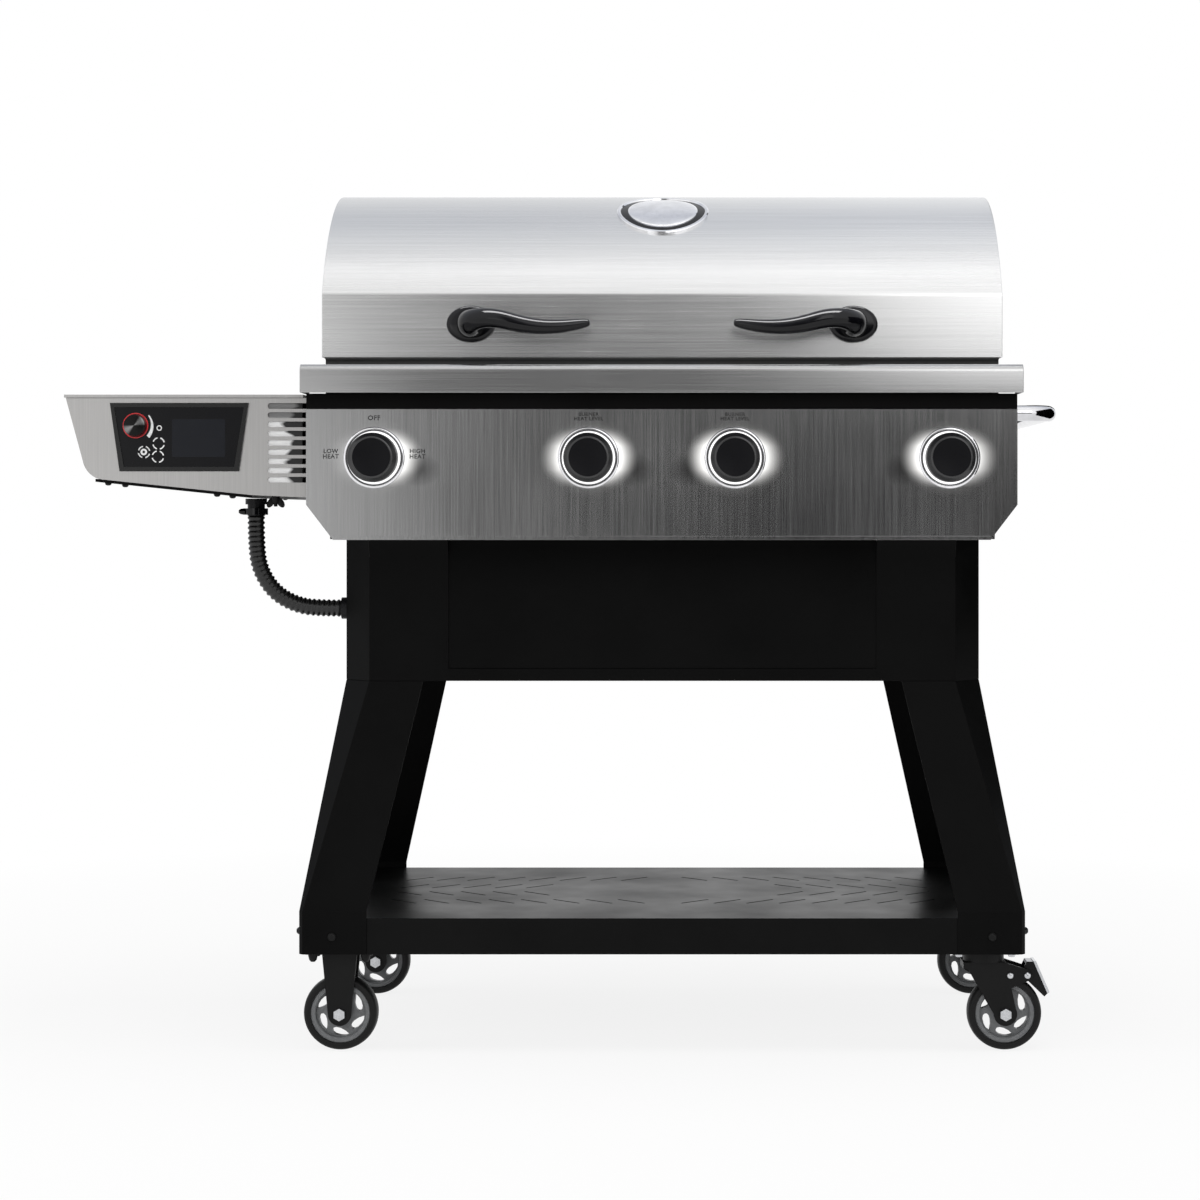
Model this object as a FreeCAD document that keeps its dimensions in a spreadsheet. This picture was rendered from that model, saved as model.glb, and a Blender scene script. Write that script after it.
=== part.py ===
import FreeCAD, Part
import math
import os

import Sketcher

# A freestanding two-fuel grill: arched lid over a firebox, control panel, pellet side box and a wheeled cart.
# Millimetres. X runs to the right, Y to the back and Z up from the floor.

Vector = FreeCAD.Vector
doc = FreeCAD.newDocument("grill")
sheet = doc.addObject("Spreadsheet::Sheet", "sizes")

SIZES = [
    # Shared gauges and clearances
    ("gauge", 2, "bent sheet steel"),
    ("fit", 0.3, "clearance between pieces that seat on each other"),
    ("running_fit", 0.08, "radial clearance of a shaft in its bore"),
    # Wheels and casters
    ("wheel_diameter", 102, "over the tyre"),
    ("rim_diameter", 82, "tyre seat on the hub"),
    ("tyre_width", 32, "across the tread"),
    ("hub_length", 34, "hub barrel along the axle"),
    ("hub_barrel", 26, "diameter of the hub barrel"),
    ("hub_web", 10, "thickness of the spoked web"),
    ("rim_wall", 7, "thickness of the rim under the tyre"),
    ("rim_width", 26, "width of the rim"),
    ("hub_openings", 6, "slanted openings round the hub"),
    ("axle_diameter", 10, "axle bolt"),
    ("axle_head", 17, "axle bolt head"),
    ("axle_head_height", 6, "height of the axle bolt head and nut"),
    ("caster_height", 137, "floor to the top of the caster plate"),
    ("caster_plate_width", 90, "caster plate along X"),
    ("caster_plate_depth", 64, "caster plate along Y"),
    ("caster_steel", 3, "fork and plate steel"),
    ("wheel_side_gap", 3, "tyre to fork cheek"),
    ("fork_width", 48, "rigid fork cheek at its top"),
    ("fork_toe", 32, "rounded end of a fork cheek"),
    ("caster_spread", 882, "between left and right caster plates"),
    ("caster_wheelbase", 440, "between front and rear axles"),
    ("swivel_trail", 28, "axle behind the swivel pivot"),
    ("race_diameter", 56, "ball race under the swivel plate"),
    ("race_height", 12, "height of the ball race"),
    ("crown_thickness", 9, "fork crown under the race"),
    ("kingpin_diameter", 12, "swivel rivet"),
    ("kingpin_head", 20, "swivel rivet head"),
    ("brake_pin_reach", 58, "brake pin from the swivel pivot"),
    ("brake_pin_height", 104, "brake pin above the floor"),
    ("brake_pin_diameter", 8, "brake pedal pin"),
    ("pedal_width", 30, "brake pedal between the cheeks"),
    # Bottom shelf and legs
    ("foot_spread", 986, "outside of the feet, left to right"),
    ("shelf_depth", 540, "outside of the feet, front to back"),
    ("apron", 49, "height of the shelf apron"),
    ("caster_pad_width", 130, "stiffening plate over a caster along X"),
    ("caster_pad_depth", 110, "stiffening plate over a caster along Y"),
    ("slit_length", 54, "slit in the shelf"),
    ("slit_width", 4, "slit in the shelf"),
    ("slit_pitch", 46, "between slits in a row"),
    ("slit_first", 367, "centre of the outermost slit from the middle"),
    ("slit_outer_row", 120, "outer slit rows from the pattern middle"),
    ("slit_inner_row", 38, "inner slit rows from the pattern middle"),
    ("slit_middle", 16, "pattern middle behind the shelf middle"),
    ("slit_outer_count", 8, "slits in half of an outer row"),
    ("slit_inner_count", 5, "slits in half of an inner row"),
    ("foot_width", 92, "front face of the foot"),
    ("foot_height", 58, "upright foot of the leg"),
    ("foot_chamfer", 5, "outer corner of the foot"),
    ("leg_side", 90, "side flange of the leg"),
    ("leg_top_width", 110, "front face of the leg at the cabinet"),
    # Base cabinet
    ("cabinet_width", 878, "outside"),
    ("cabinet_depth", 434, "outside"),
    ("cabinet_base", 505, "floor to the underside of the cabinet"),
    ("cabinet_height", 195, "height of the cabinet"),
    ("cabinet_chamfer", 36, "upright corner facets"),
    ("cabinet_wall", 4, "folded cabinet wall"),
    ("recess_width", 588, "recessed front panel"),
    ("recess_depth", 2.5, "depth of the front recess"),
    ("recess_rail", 17, "rail under the front recess"),
    ("flare_height", 26, "flared cap at the top of each post"),
    ("flare_reach", 14, "how far the cap stands forward"),
    # Firebox; every height from here on is above the cabinet
    ("firebox_width", 914, "outside"),
    ("firebox_depth", 528, "outside at the rim"),
    ("firebox_waist", 130, "height where the walls start to slope in, above the cabinet"),
    ("rear_vent", 42, "open vent slot under the rear of the lid"),
    ("rim_flange", 6, "flange under the lid edge"),
    ("rail_width", 6, "rails that carry the grates and the deflector"),
    ("grate_height", 198, "underside of the cooking grates, above the cabinet"),
    ("grate_thickness", 10, "cast cooking grate"),
    ("grate_count", 3, "grates side by side"),
    ("grate_gap", 2, "between grates"),
    ("grate_rim", 12, "rim of a grate"),
    ("grate_bar", 8, "bar of a grate"),
    ("grate_slots", 14, "slots in a grate"),
    ("deflector_edge", 160, "underside of the deflector edge, above the cabinet"),
    ("deflector_rise", 22, "rise of the deflector to its ridge"),
    # Pellet burner
    ("pot_diameter", 100, "fire pot"),
    ("pot_height", 113, "fire pot"),
    ("pot_wall", 3, "fire pot"),
    ("air_duct", 40, "air hole under the fire pot"),
    ("igniter_diameter", 10, "igniter rod"),
    ("igniter_length", 90, "igniter rod"),
    ("igniter_height", 22, "rod above the pot floor"),
    ("auger_height", 95, "auger axis, above the cabinet"),
    ("auger_bore", 44, "auger tube bore"),
    ("auger_wall", 3, "auger tube wall"),
    ("auger_shaft", 14, "auger shaft diameter"),
    ("auger_flight", 40, "auger flight diameter"),
    ("auger_pitch", 60, "auger flight pitch"),
    ("flight_thickness", 4, "auger flight thickness"),
    ("auger_feed", 80, "feed opening in the tube"),
    ("motor_length", 64, "auger motor along the auger"),
    ("motor_width", 60, "auger motor across"),
    ("motor_height", 42, "auger motor"),
    ("fan_diameter", 136, "fan housing"),
    ("fan_height", 50, "fan housing"),
    ("fan_drop", 50, "air duct from the fan to the firebox"),
    ("rotor_diameter", 112, "fan rotor"),
    ("rotor_blades", 8, "fan blades"),
    ("fan_motor_diameter", 60, "fan motor can"),
    ("fan_motor_height", 40, "fan motor can"),
    ("fan_shaft", 8, "fan motor shaft"),
    # Gas burner set
    ("burner_diameter", 22, "gas burner tube"),
    ("burner_height", 145, "burner axis, above the cabinet"),
    ("burner_length", 480, "gas burner tube"),
    ("manifold_diameter", 13, "gas manifold pipe"),
    ("manifold_bend", 28, "bend of the manifold to the rear"),
    ("inlet_diameter", 16, "gas inlet at the end of the manifold"),
    ("inlet_length", 21, "gas inlet"),
    ("valve_width", 44, "valve and switch bodies"),
    ("valve_depth", 41, "valve and switch bodies"),
    # Control panel, ledge and knobs
    ("panel_width", 952, "outside"),
    ("panel_top", 175, "upper edge of the steel panel, above the cabinet"),
    ("panel_front", 320, "panel face ahead of the middle"),
    ("panel_chamfer_width", 36, "lower corner chamfer"),
    ("panel_chamfer_height", 47, "lower corner chamfer"),
    ("panel_hem", 5, "folded lower lip of the panel"),
    ("panel_hem_reach", 4, "how far the lip stands forward"),
    ("band_height", 21, "black band over the panel"),
    ("ledge_width", 962, "outside"),
    ("ledge_front", 347, "ledge face ahead of the middle"),
    ("ledge_height", 38, "height of the ledge face"),
    ("ledge_round", 10, "rounded upper edge"),
    ("knob_outer", 385, "outer knobs from the middle"),
    ("knob_inner", 98, "inner knobs from the middle"),
    ("knob_height", 110, "knob axis, above the cabinet"),
    ("knob_diameter", 66, "at the base"),
    ("knob_face", 54, "flat front of the knob"),
    ("knob_depth", 30, "base to front"),
    ("knob_bevel", 9, "depth of the bevel"),
    ("knob_dish", 0.8, "hollow of the knob's face"),
    ("knob_land", 2.5, "rim round the hollow"),
    ("knob_stem", 10, "stem into the valve"),
    ("knob_stem_length", 29, "stem behind the knob"),
    ("bezel_diameter", 83, "chrome ring on the panel"),
    ("bezel_bore", 70, "inside of the chrome ring"),
    ("bezel_depth", 4, "chrome ring"),
    ("stem_hole", 14, "hole in the panel for a stem"),
    # Lid
    ("lid_width", 923, "outside"),
    ("lid_depth", 540, "outside"),
    ("lid_base", 247, "lower edge, above the cabinet"),
    ("lid_crease", 333, "where the arch starts, above the cabinet"),
    ("lid_top", 493, "top of the arch, above the cabinet"),
    ("lid_bend", 14, "radius where the arch starts"),
    ("lid_gap", 0.6, "lid edge over the firebox rim"),
    ("handle_spread", 518, "between the roses of the two lid handles"),
    ("handle_height", 292, "lid handle, above the cabinet"),
    ("rose_width", 67, "oval rose of a lid handle"),
    ("rose_height", 50, "oval rose of a lid handle"),
    ("rose_depth", 8, "oval rose of a lid handle"),
    ("hinge_spread", 600, "between the two lid hinges"),
    ("hinge_back", 9, "hinge axis behind the lid"),
    ("hinge_drop", 5, "hinge axis under the lid edge"),
    ("hinge_barrel", 16, "hinge knuckle"),
    ("hinge_pin", 8, "hinge pin"),
    ("hinge_leaf", 34, "lid leaf width"),
    ("hinge_width", 68, "bracket width"),
    ("hinge_side_gap", 1.5, "between knuckles"),
    ("hinge_steel", 3, "leaf and bracket steel"),
    ("leaf_height", 38, "leaf on the back of the lid"),
    ("bracket_drop", 70, "bracket below the hinge axis"),
    # Side box
    ("box_front", 300, "side box face ahead of the middle"),
    ("box_back", 230, "side box back behind the middle"),
    ("box_top", 190.7, "rim of the side box, above the cabinet"),
    ("box_left", 148, "left end of the rim, from the controller centre"),
    ("box_left_low", 127, "left end of the slanted side, from the controller centre"),
    ("box_left_height", 94.5, "lower end of the slanted side, above the cabinet"),
    ("box_corner", 113, "end of the rounded lower corner, from the controller centre"),
    ("box_corner_height", 82, "end of the rounded lower corner, above the cabinet"),
    ("box_step", 74.7, "where the floor plate ends, from the right end of the box"),
    ("box_step_height", 60, "underside at the end of the floor plate, above the cabinet"),
    ("box_right_height", 57, "underside at the right end, above the cabinet"),
    ("floor_plate", 4, "black plate under the side box"),
    ("tab_width", 40, "mounting tabs to the firebox"),
    ("tab_height", 60, "mounting tabs to the firebox"),
    ("vent_first", 180, "top vent slot, above the cabinet"),
    ("vent_pitch", 12.4, "between vent slots"),
    ("vent_height", 7.7, "height of a vent slot"),
    ("vent_count", 9, "vent slots"),
    ("vent_left", 55.7, "left end of the vent slots, from the right end of the box"),
    ("hopper_lid_thickness", 4, "hemmed lid of the hopper"),
    ("hopper_lid_overhang", 6, "lid past the rim on the left and front"),
    ("hopper_rest", 12, "rim of the side box under the right edge of the lid"),
    ("hopper_hinge_barrel", 10, "hopper lid knuckle"),
    ("hopper_hinge_pin", 5, "hopper lid pin"),
    ("hopper_hinge_back", 6, "hopper hinge axis behind the box"),
    ("hopper_hinge_length", 140, "hopper lid knuckle length"),
    ("hopper_lug", 10, "hopper hinge lugs"),
    ("bin_front", 235, "front of the hopper bin"),
    ("bin_drop", 4.7, "bin rim below the box rim"),
    ("bin_outlet_depth", 44, "outlet of the bin"),
    ("controller_top", 186, "controller width at its top"),
    ("controller_foot", 160, "controller width at its foot"),
    ("controller_height", 92, "controller height"),
    ("controller_middle", 172.7, "controller centre from the right end of the box"),
    ("controller_base", 92, "foot of the controller, above the cabinet"),
    ("controller_rim", 6, "rim of the controller bezel"),
    ("controller_proud", 4, "bezel ahead of the box"),
    ("glass_thickness", 2, "controller glass"),
    ("dial_left", 58.5, "dial left of the controller centre"),
    ("dial_height", 153.5, "dial axis, above the cabinet"),
    ("dial_diameter", 31, "controller dial"),
    ("dial_depth", 11, "controller dial"),
    ("dial_shaft", 6, "controller dial"),
    ("button_left", 47, "power button left of the controller centre"),
    ("button_height", 118, "power button, above the cabinet"),
    ("button_diameter", 12, "power button"),
    ("button_proud", 2, "power button ahead of the glass"),
    ("button_flange", 16, "flange that keeps the button in"),
    # Conduit and bar handle
    ("conduit_diameter", 24, "flexible conduit"),
    ("gland_diameter", 30, "conduit end fittings"),
    ("gland_nut", 8, "height of the gland nut"),
    ("bar_diameter", 22, "bar handle"),
    ("bar_reach", 80, "bar centre line from the firebox"),
    ("bar_front", 200, "front foot of the bar handle"),
    ("bar_back", 190, "rear foot of the bar handle"),
    ("bar_height", 174, "bar handle, above the cabinet"),
    ("bar_bend", 34, "bend of the bar handle"),
    ("bar_rose", 38, "feet of the bar handle"),
    ("bar_rose_depth", 5, "feet of the bar handle"),
]
for row, (alias, number, note) in enumerate(SIZES, start=1):
    sheet.set(f"A{row}", alias)
    sheet.set(f"B{row}", str(number))
    sheet.setAlias(f"B{row}", alias)
    sheet.set(f"C{row}", note)
doc.recompute()


class Size:
    """A length that keeps its number and the spreadsheet formula that it comes from."""

    def __init__(self, value, formula):
        self.value = value
        self.formula = formula

    def __add__(self, other):
        return Size(self.value + value_of(other), f"({self.formula} + {formula_of(other)})")

    def __radd__(self, other):
        return Size(value_of(other) + self.value, f"({formula_of(other)} + {self.formula})")

    def __sub__(self, other):
        return Size(self.value - value_of(other), f"({self.formula} - {formula_of(other)})")

    def __rsub__(self, other):
        return Size(value_of(other) - self.value, f"({formula_of(other)} - {self.formula})")

    def __mul__(self, other):
        return Size(self.value * value_of(other), f"({self.formula} * {formula_of(other)})")

    __rmul__ = __mul__

    def __truediv__(self, other):
        return Size(self.value / value_of(other), f"({self.formula} / {formula_of(other)})")

    def __neg__(self):
        return Size(-self.value, f"(0 - {self.formula})")


class Dimensions:
    """The cells of the sheet as sizes, by their alias."""

    def __getattr__(self, alias):
        return Size(float(sheet.get(alias)), f"sizes.{alias}")


dim = Dimensions()
subparts = []


def value_of(size):
    return size.value if isinstance(size, Size) else float(size)


def formula_of(size):
    return size.formula if isinstance(size, Size) else f"({float(size)})"


def bind(thing, path, size):
    """Ties a property of a document object to the sheet."""
    thing.setExpression(path, formula_of(size))


# Places that several pieces share
shelf_top = dim.caster_height + dim.apron
cabinet_top = dim.cabinet_base + dim.cabinet_height


class Deck:
    """The heights that the sheet gives above the cabinet, measured from the floor."""

    def __getattr__(self, alias):
        return cabinet_top + getattr(dim, alias)


deck = Deck()
box_right = dim.panel_width / 2 + dim.fit
box_step = box_right + dim.box_step
controller_x = box_right + dim.controller_middle
box_left = controller_x + dim.box_left
box_left_low = controller_x + dim.box_left_low
box_corner = controller_x + dim.box_corner
left_reach = box_left + dim.hopper_lid_overhang
right_reach = dim.firebox_width / 2 + dim.bar_reach + dim.bar_diameter / 2
knob_front = dim.panel_front + dim.bezel_depth + 1 + dim.knob_depth
hinge_y = dim.lid_depth / 2 + dim.hinge_back
hinge_z = deck.lid_base - dim.hinge_drop
back_reach = hinge_y + dim.hinge_barrel / 2
origin_x = (left_reach - right_reach) / 2
origin_y = (knob_front - back_reach) / 2

rim_height = deck.lid_base - dim.lid_gap
band_top = deck.panel_top + dim.band_height
ledge_top = band_top + dim.ledge_height
firebox_front = dim.firebox_depth / 2
firebox_end = dim.firebox_width / 2
hopper_lid_right = dim.ledge_width / 2 + 2 * dim.fit
panel_back = dim.panel_front - dim.gauge
control_wall = panel_back - dim.gauge
wheel_radius = dim.wheel_diameter / 2
cheek_inside = dim.tyre_width / 2 + dim.wheel_side_gap
cheek_outside = cheek_inside + dim.caster_steel
auger_outside = dim.auger_bore / 2 + dim.auger_wall
auger_inlet = box_step + 60
bin_outlet_z = deck.auger_height + auger_outside + dim.fit
deflector_top = deck.deflector_edge + dim.gauge


# Sketches

def sketch_on(body, plane, across=0, up=0, out=0):
    """A sketch on one of the body's own planes, moved across, up and out along that plane's axes."""
    planes = {feature.Role: feature for feature in body.Origin.OriginFeatures}
    sketch = body.newObject("Sketcher::SketchObject", f"{body.Name}_sketch")
    sketch.AttachmentSupport = (planes[f"{plane}_Plane"], [""])
    sketch.MapMode = "FlatFace"
    for axis, size in (("x", across), ("y", up), ("z", out)):
        bind(sketch, f"AttachmentOffset.Base.{axis}", size)
    return sketch


def hold(sketch, kind, place, size):
    """Adds one dimension to a sketch and ties it to the sheet."""
    index = sketch.addConstraint(Sketcher.Constraint(kind, *place, value_of(size)))
    if isinstance(size, Size):
        sketch.setExpression(f"Constraints[{index}]", size.formula)


def hold_point(sketch, geometry, point, across, up):
    hold(sketch, "DistanceX", (-1, 1, geometry, point), across)
    hold(sketch, "DistanceY", (-1, 1, geometry, point), up)


def draw_polygon(sketch, corners):
    """A closed outline; a corner may carry a third value, the radius of the arc to the next corner."""
    points = [Vector(value_of(corner[0]), value_of(corner[1]), 0) for corner in corners]
    first = sketch.GeometryCount
    for index, corner in enumerate(corners):
        start = points[index]
        end = points[(index + 1) % len(points)]
        if len(corner) == 3:
            sketch.addGeometry(arc_between(start, end, value_of(corner[2])))
        else:
            sketch.addGeometry(Part.LineSegment(start, end))
    for index in range(len(corners)):
        following = (index + 1) % len(corners)
        sketch.addConstraint(Sketcher.Constraint("Coincident", first + index, 2, first + following, 1))
    for index, corner in enumerate(corners):
        hold_point(sketch, first + index, 1, corner[0], corner[1])
        if len(corner) == 3:
            hold(sketch, "Radius", (first + index,), corner[2])


def arc_between(start, end, radius):
    """An anticlockwise arc of less than half a turn from start to end."""
    chord = end - start
    rise = math.sqrt(radius ** 2 - (chord.Length / 2) ** 2)
    inward = Vector(-chord.y, chord.x, 0).normalize()
    centre = (start + end) / 2 + inward * rise
    begin = math.atan2(start.y - centre.y, start.x - centre.x)
    finish = math.atan2(end.y - centre.y, end.x - centre.x)
    return Part.ArcOfCircle(Part.Circle(centre, Vector(0, 0, 1), radius), begin, finish)


def draw_loops(sketch, loops):
    """Closed outlines: a list of corners is a polygon, and a tuple (across, up, radius) a circle."""
    for loop in loops:
        if isinstance(loop, tuple):
            across, up, radius = loop
            middle = Vector(value_of(across), value_of(up), 0)
            circle = sketch.addGeometry(Part.Circle(middle, Vector(0, 0, 1), value_of(radius)))
            hold_point(sketch, circle, 3, across, up)
            hold(sketch, "Radius", (circle,), radius)
        else:
            draw_polygon(sketch, loop)


def rectangle(left, low, right, high):
    return [(left, low), (right, low), (right, high), (left, high)]


def centred(across, up, width, height):
    return rectangle(across - width / 2, up - height / 2, across + width / 2, up + height / 2)


# Bodies and features

def new_body(label, listed=True):
    body = doc.addObject("PartDesign::Body", label)
    body.Label = label
    bind(body, "Placement.Base.x", origin_x)
    bind(body, "Placement.Base.y", origin_y)
    if listed:
        subparts.append(body)
    return body


def prism(body, plane, loops, start, length):
    """Adds material from start over length, along X from the YZ plane, Y from XZ or Z from XY."""
    out = -(start + length) if plane == "XZ" else start
    sketch = sketch_on(body, plane, out=out)
    draw_loops(sketch, loops)
    pad = body.newObject("PartDesign::Pad", f"{body.Name}_pad")
    pad.Profile = sketch
    bind(pad, "Length", length)
    return pad


def cut(body, plane, loops, start, length):
    """Removes material from start over length, along the same axes as prism adds it."""
    out = -start if plane == "XZ" else start + length
    sketch = sketch_on(body, plane, out=out)
    draw_loops(sketch, loops)
    pocket = body.newObject("PartDesign::Pocket", f"{body.Name}_pocket")
    pocket.Profile = sketch
    bind(pocket, "Length", length)
    return pocket


def turned(body, axis, profile, across, up):
    """Adds a turned form; the profile gives (radius, along) and the axis passes at (across, up)."""
    if axis == "Y":
        sketch = sketch_on(body, "XY", across=across, out=up)
    elif axis == "Z":
        sketch = sketch_on(body, "XZ", across=across, out=-up)
    else:
        sketch = sketch_on(body, "XY", up=across, out=up)
        profile = [(along, radius) for radius, along in profile]
    draw_loops(sketch, [profile])
    revolution = body.newObject("PartDesign::Revolution", f"{body.Name}_turned")
    revolution.Profile = sketch
    revolution.ReferenceAxis = (sketch, ["H_Axis" if axis == "X" else "V_Axis"])
    revolution.Angle = 360
    return revolution


def row_of(body, feature, axis, pitch, count, backwards=False):
    """Repeats a feature along an axis of its sketch."""
    pattern = body.newObject("PartDesign::LinearPattern", f"{body.Name}_row")
    pattern.Originals = [feature]
    pattern.Direction = (feature.Profile[0], [axis])
    pattern.Reversed = backwards
    bind(pattern, "Length", pitch * (count - 1))
    bind(pattern, "Occurrences", count)
    body.Tip = pattern


def ring_of(body, feature, count):
    """Repeats a feature round the normal of its sketch."""
    pattern = body.newObject("PartDesign::PolarPattern", f"{body.Name}_ring")
    pattern.Originals = [feature]
    pattern.Axis = (feature.Profile[0], ["N_Axis"])
    pattern.Angle = 360
    bind(pattern, "Occurrences", count)
    body.Tip = pattern


def loft(body, sections, kind="PartDesign::AdditiveLoft"):
    """A ruled loft through (outline, height) sections on level planes."""
    sketches = []
    for outline, height in sections:
        sketch = sketch_on(body, "XY", out=height)
        draw_loops(sketch, [outline])
        sketches.append(sketch)
    feature = body.newObject(kind, f"{body.Name}_loft")
    feature.Profile = sketches[0]
    feature.Sections = sketches[1:]
    feature.Ruled = True
    return feature


def rounded(body, radius, wanted):
    """Rounds the edges whose middle point passes the test."""
    doc.recompute()
    tip = body.Tip
    names = []
    for index, edge in enumerate(tip.Shape.Edges, start=1):
        if wanted(edge.CenterOfMass):
            names.append(f"Edge{index}")
    fillet = body.newObject("PartDesign::Fillet", f"{body.Name}_round")
    fillet.Base = (tip, names)
    bind(fillet, "Radius", radius)


def near(size, coordinate):
    return abs(value_of(size) - coordinate) < 0.01


def group(label, members):
    """Identical pieces that share one node."""
    compound = doc.addObject("Part::Compound", label)
    compound.Label = label
    compound.Links = members
    subparts.append(compound)


def shaped(label, shape):
    """A piece whose shape comes from Part's own functions."""
    feature = doc.addObject("Part::Feature", label)
    feature.Label = label
    feature.Shape = shape
    feature.Placement.Base = Vector(value_of(origin_x), value_of(origin_y), 0)
    return feature


# Cart

def bottom_shelf():
    body = new_body("bottom_shelf")
    half_width = dim.foot_spread / 2 - dim.gauge - dim.fit
    half_depth = dim.shelf_depth / 2 - dim.gauge - dim.fit
    floor = dim.caster_height
    corner = dim.foot_chamfer - (dim.gauge + dim.fit) * (2 - math.sqrt(2))
    prism(body, "XY", [faceted(half_width, half_depth, corner)], floor, dim.apron)
    inner_width = half_width - dim.gauge
    inner_depth = half_depth - dim.gauge
    hollow = rectangle(-inner_width, -inner_depth, inner_width, inner_depth)
    cut(body, "XY", [hollow], floor, dim.apron - dim.gauge)
    pads = []
    for side in (-1, 1):
        for end in (-1, 1):
            across = side * (inner_width - dim.caster_pad_width / 2)
            along = end * (inner_depth - dim.caster_pad_depth / 2)
            pads.append(centred(across, along, dim.caster_pad_width, dim.caster_pad_depth))
    prism(body, "XY", pads, floor, dim.caster_steel)
    rows = (
        (dim.slit_outer_row, 1, dim.slit_outer_count),
        (dim.slit_inner_row, 1, dim.slit_inner_count),
        (dim.slit_inner_row, -1, dim.slit_inner_count),
        (dim.slit_outer_row, -1, dim.slit_outer_count),
    )
    for offset, end, count in rows:
        for side in (-1, 1):
            middle = (side * dim.slit_first, dim.slit_middle + end * offset)
            slit = slanted_slit(middle, -side * end)
            pocket = cut(body, "XY", [slit], shelf_top - dim.gauge, dim.gauge)
            row_of(body, pocket, "H_Axis", dim.slit_pitch, count, backwards=side > 0)


def slanted_slit(middle, slope):
    """A slit at 45 degrees, rising to the right where slope is 1."""
    half_length = dim.slit_length / 2 * math.sqrt(0.5)
    half_width = dim.slit_width / 2 * math.sqrt(0.5)
    across, along = middle
    corners = (
        (-half_length - half_width, -half_length + half_width),
        (-half_length + half_width, -half_length - half_width),
        (half_length + half_width, half_length - half_width),
        (half_length - half_width, half_length + half_width),
    )
    return [(across + u, along + slope * v) for u, v in corners]


def leg(label, side, end):
    """A splayed angle of bent sheet with a faceted outer corner and an upright foot."""
    body = new_body(label)
    foot_outer = dim.foot_spread / 2
    foot_inner = foot_outer - dim.foot_width
    foot = leg_section(side, end, foot_inner, foot_outer, dim.shelf_depth / 2, dim.foot_chamfer)
    top_outer = dim.cabinet_width / 2
    top_inner = top_outer - dim.leg_top_width
    top = leg_section(side, end, top_inner, top_outer, dim.cabinet_depth / 2, dim.cabinet_chamfer)
    foot_top = dim.caster_height + dim.foot_height
    loft(body, [(foot, dim.caster_height), (foot, foot_top), (top, dim.cabinet_base)])


def leg_section(side, end, inner, outer, face, chamfer):
    corner = dim.gauge * math.tan(math.radians(22.5))
    back = face - dim.leg_side
    corners = (
        (inner, face),
        (outer - chamfer, face),
        (outer, face - chamfer),
        (outer, back),
        (outer - dim.gauge, back),
        (outer - dim.gauge, face - chamfer - corner),
        (outer - chamfer - corner, face - dim.gauge),
        (inner, face - dim.gauge),
    )
    return [(side * across, end * along) for across, along in corners]


def faceted(half_width, half_depth, chamfer):
    """A rectangle with its four corners cut off."""
    return [
        (-half_width + chamfer, -half_depth),
        (half_width - chamfer, -half_depth),
        (half_width, -half_depth + chamfer),
        (half_width, half_depth - chamfer),
        (half_width - chamfer, half_depth),
        (-half_width + chamfer, half_depth),
        (-half_width, half_depth - chamfer),
        (-half_width, -half_depth + chamfer),
    ]


def base_cabinet():
    body = new_body("base_cabinet")
    half_width = dim.cabinet_width / 2
    half_depth = dim.cabinet_depth / 2
    wall = dim.cabinet_wall
    outline = faceted(half_width, half_depth, dim.cabinet_chamfer)
    prism(body, "XY", [outline], dim.cabinet_base, dim.cabinet_height)
    hollow = faceted(half_width - wall, half_depth - wall, dim.cabinet_chamfer - wall * 0.6)
    cut(body, "XY", [hollow], dim.cabinet_base + wall, dim.cabinet_height - wall)
    recess_end = dim.recess_width / 2
    panel = rectangle(-recess_end, dim.cabinet_base + dim.recess_rail, recess_end, cabinet_top)
    cut(body, "XZ", [panel], -half_depth, dim.recess_depth)
    for side in (-1, 1):
        inner = dim.recess_width / 2
        outer = half_width - dim.cabinet_chamfer
        wedge = [
            (-half_depth, cabinet_top - dim.flare_height),
            (-half_depth, cabinet_top),
            (-half_depth - dim.flare_reach, cabinet_top),
        ]
        start = inner if side > 0 else -outer
        prism(body, "YZ", [wedge], start, outer - inner)


# Casters

def cheek_outline(left, right, top, axle):
    """A fork cheek from its top edge down to the axle."""
    toe = dim.fork_toe / 2
    return [(left, top), (right, top), (axle + toe, wheel_radius), (axle - toe, wheel_radius)]


def add_cheeks(body, outline, axle, along):
    """Two cheeks beside the wheel, with rounded toes and the axle hole."""
    hole = dim.axle_diameter / 2 + dim.running_fit
    for start in (along - cheek_outside, along + cheek_inside):
        prism(body, "XZ", [outline], start, dim.caster_steel)
        prism(body, "XZ", [(axle, wheel_radius, dim.fork_toe / 2)], start, dim.caster_steel)
        cut(body, "XZ", [(axle, wheel_radius, hole)], start, dim.caster_steel)


def rigid_fork(end):
    body = new_body(f"rigid_fork_{end}", listed=False)
    across = -dim.caster_spread / 2
    along = end_sign[end] * dim.caster_wheelbase / 2
    plate = centred(across, along, dim.caster_plate_width, dim.caster_plate_depth)
    plate_base = dim.caster_height - dim.caster_steel
    prism(body, "XY", [plate], plate_base, dim.caster_steel)
    half = dim.fork_width / 2
    add_cheeks(body, cheek_outline(across - half, across + half, plate_base, across), across, along)
    return body


def hexagon(across, up, width):
    """A hexagon of the given width over its corners, with a corner on top."""
    outline = []
    for corner in range(6):
        angle = math.radians(30 + 60 * corner)
        outline.append((across + width / 2 * math.cos(angle), up + width / 2 * math.sin(angle)))
    return outline


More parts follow.
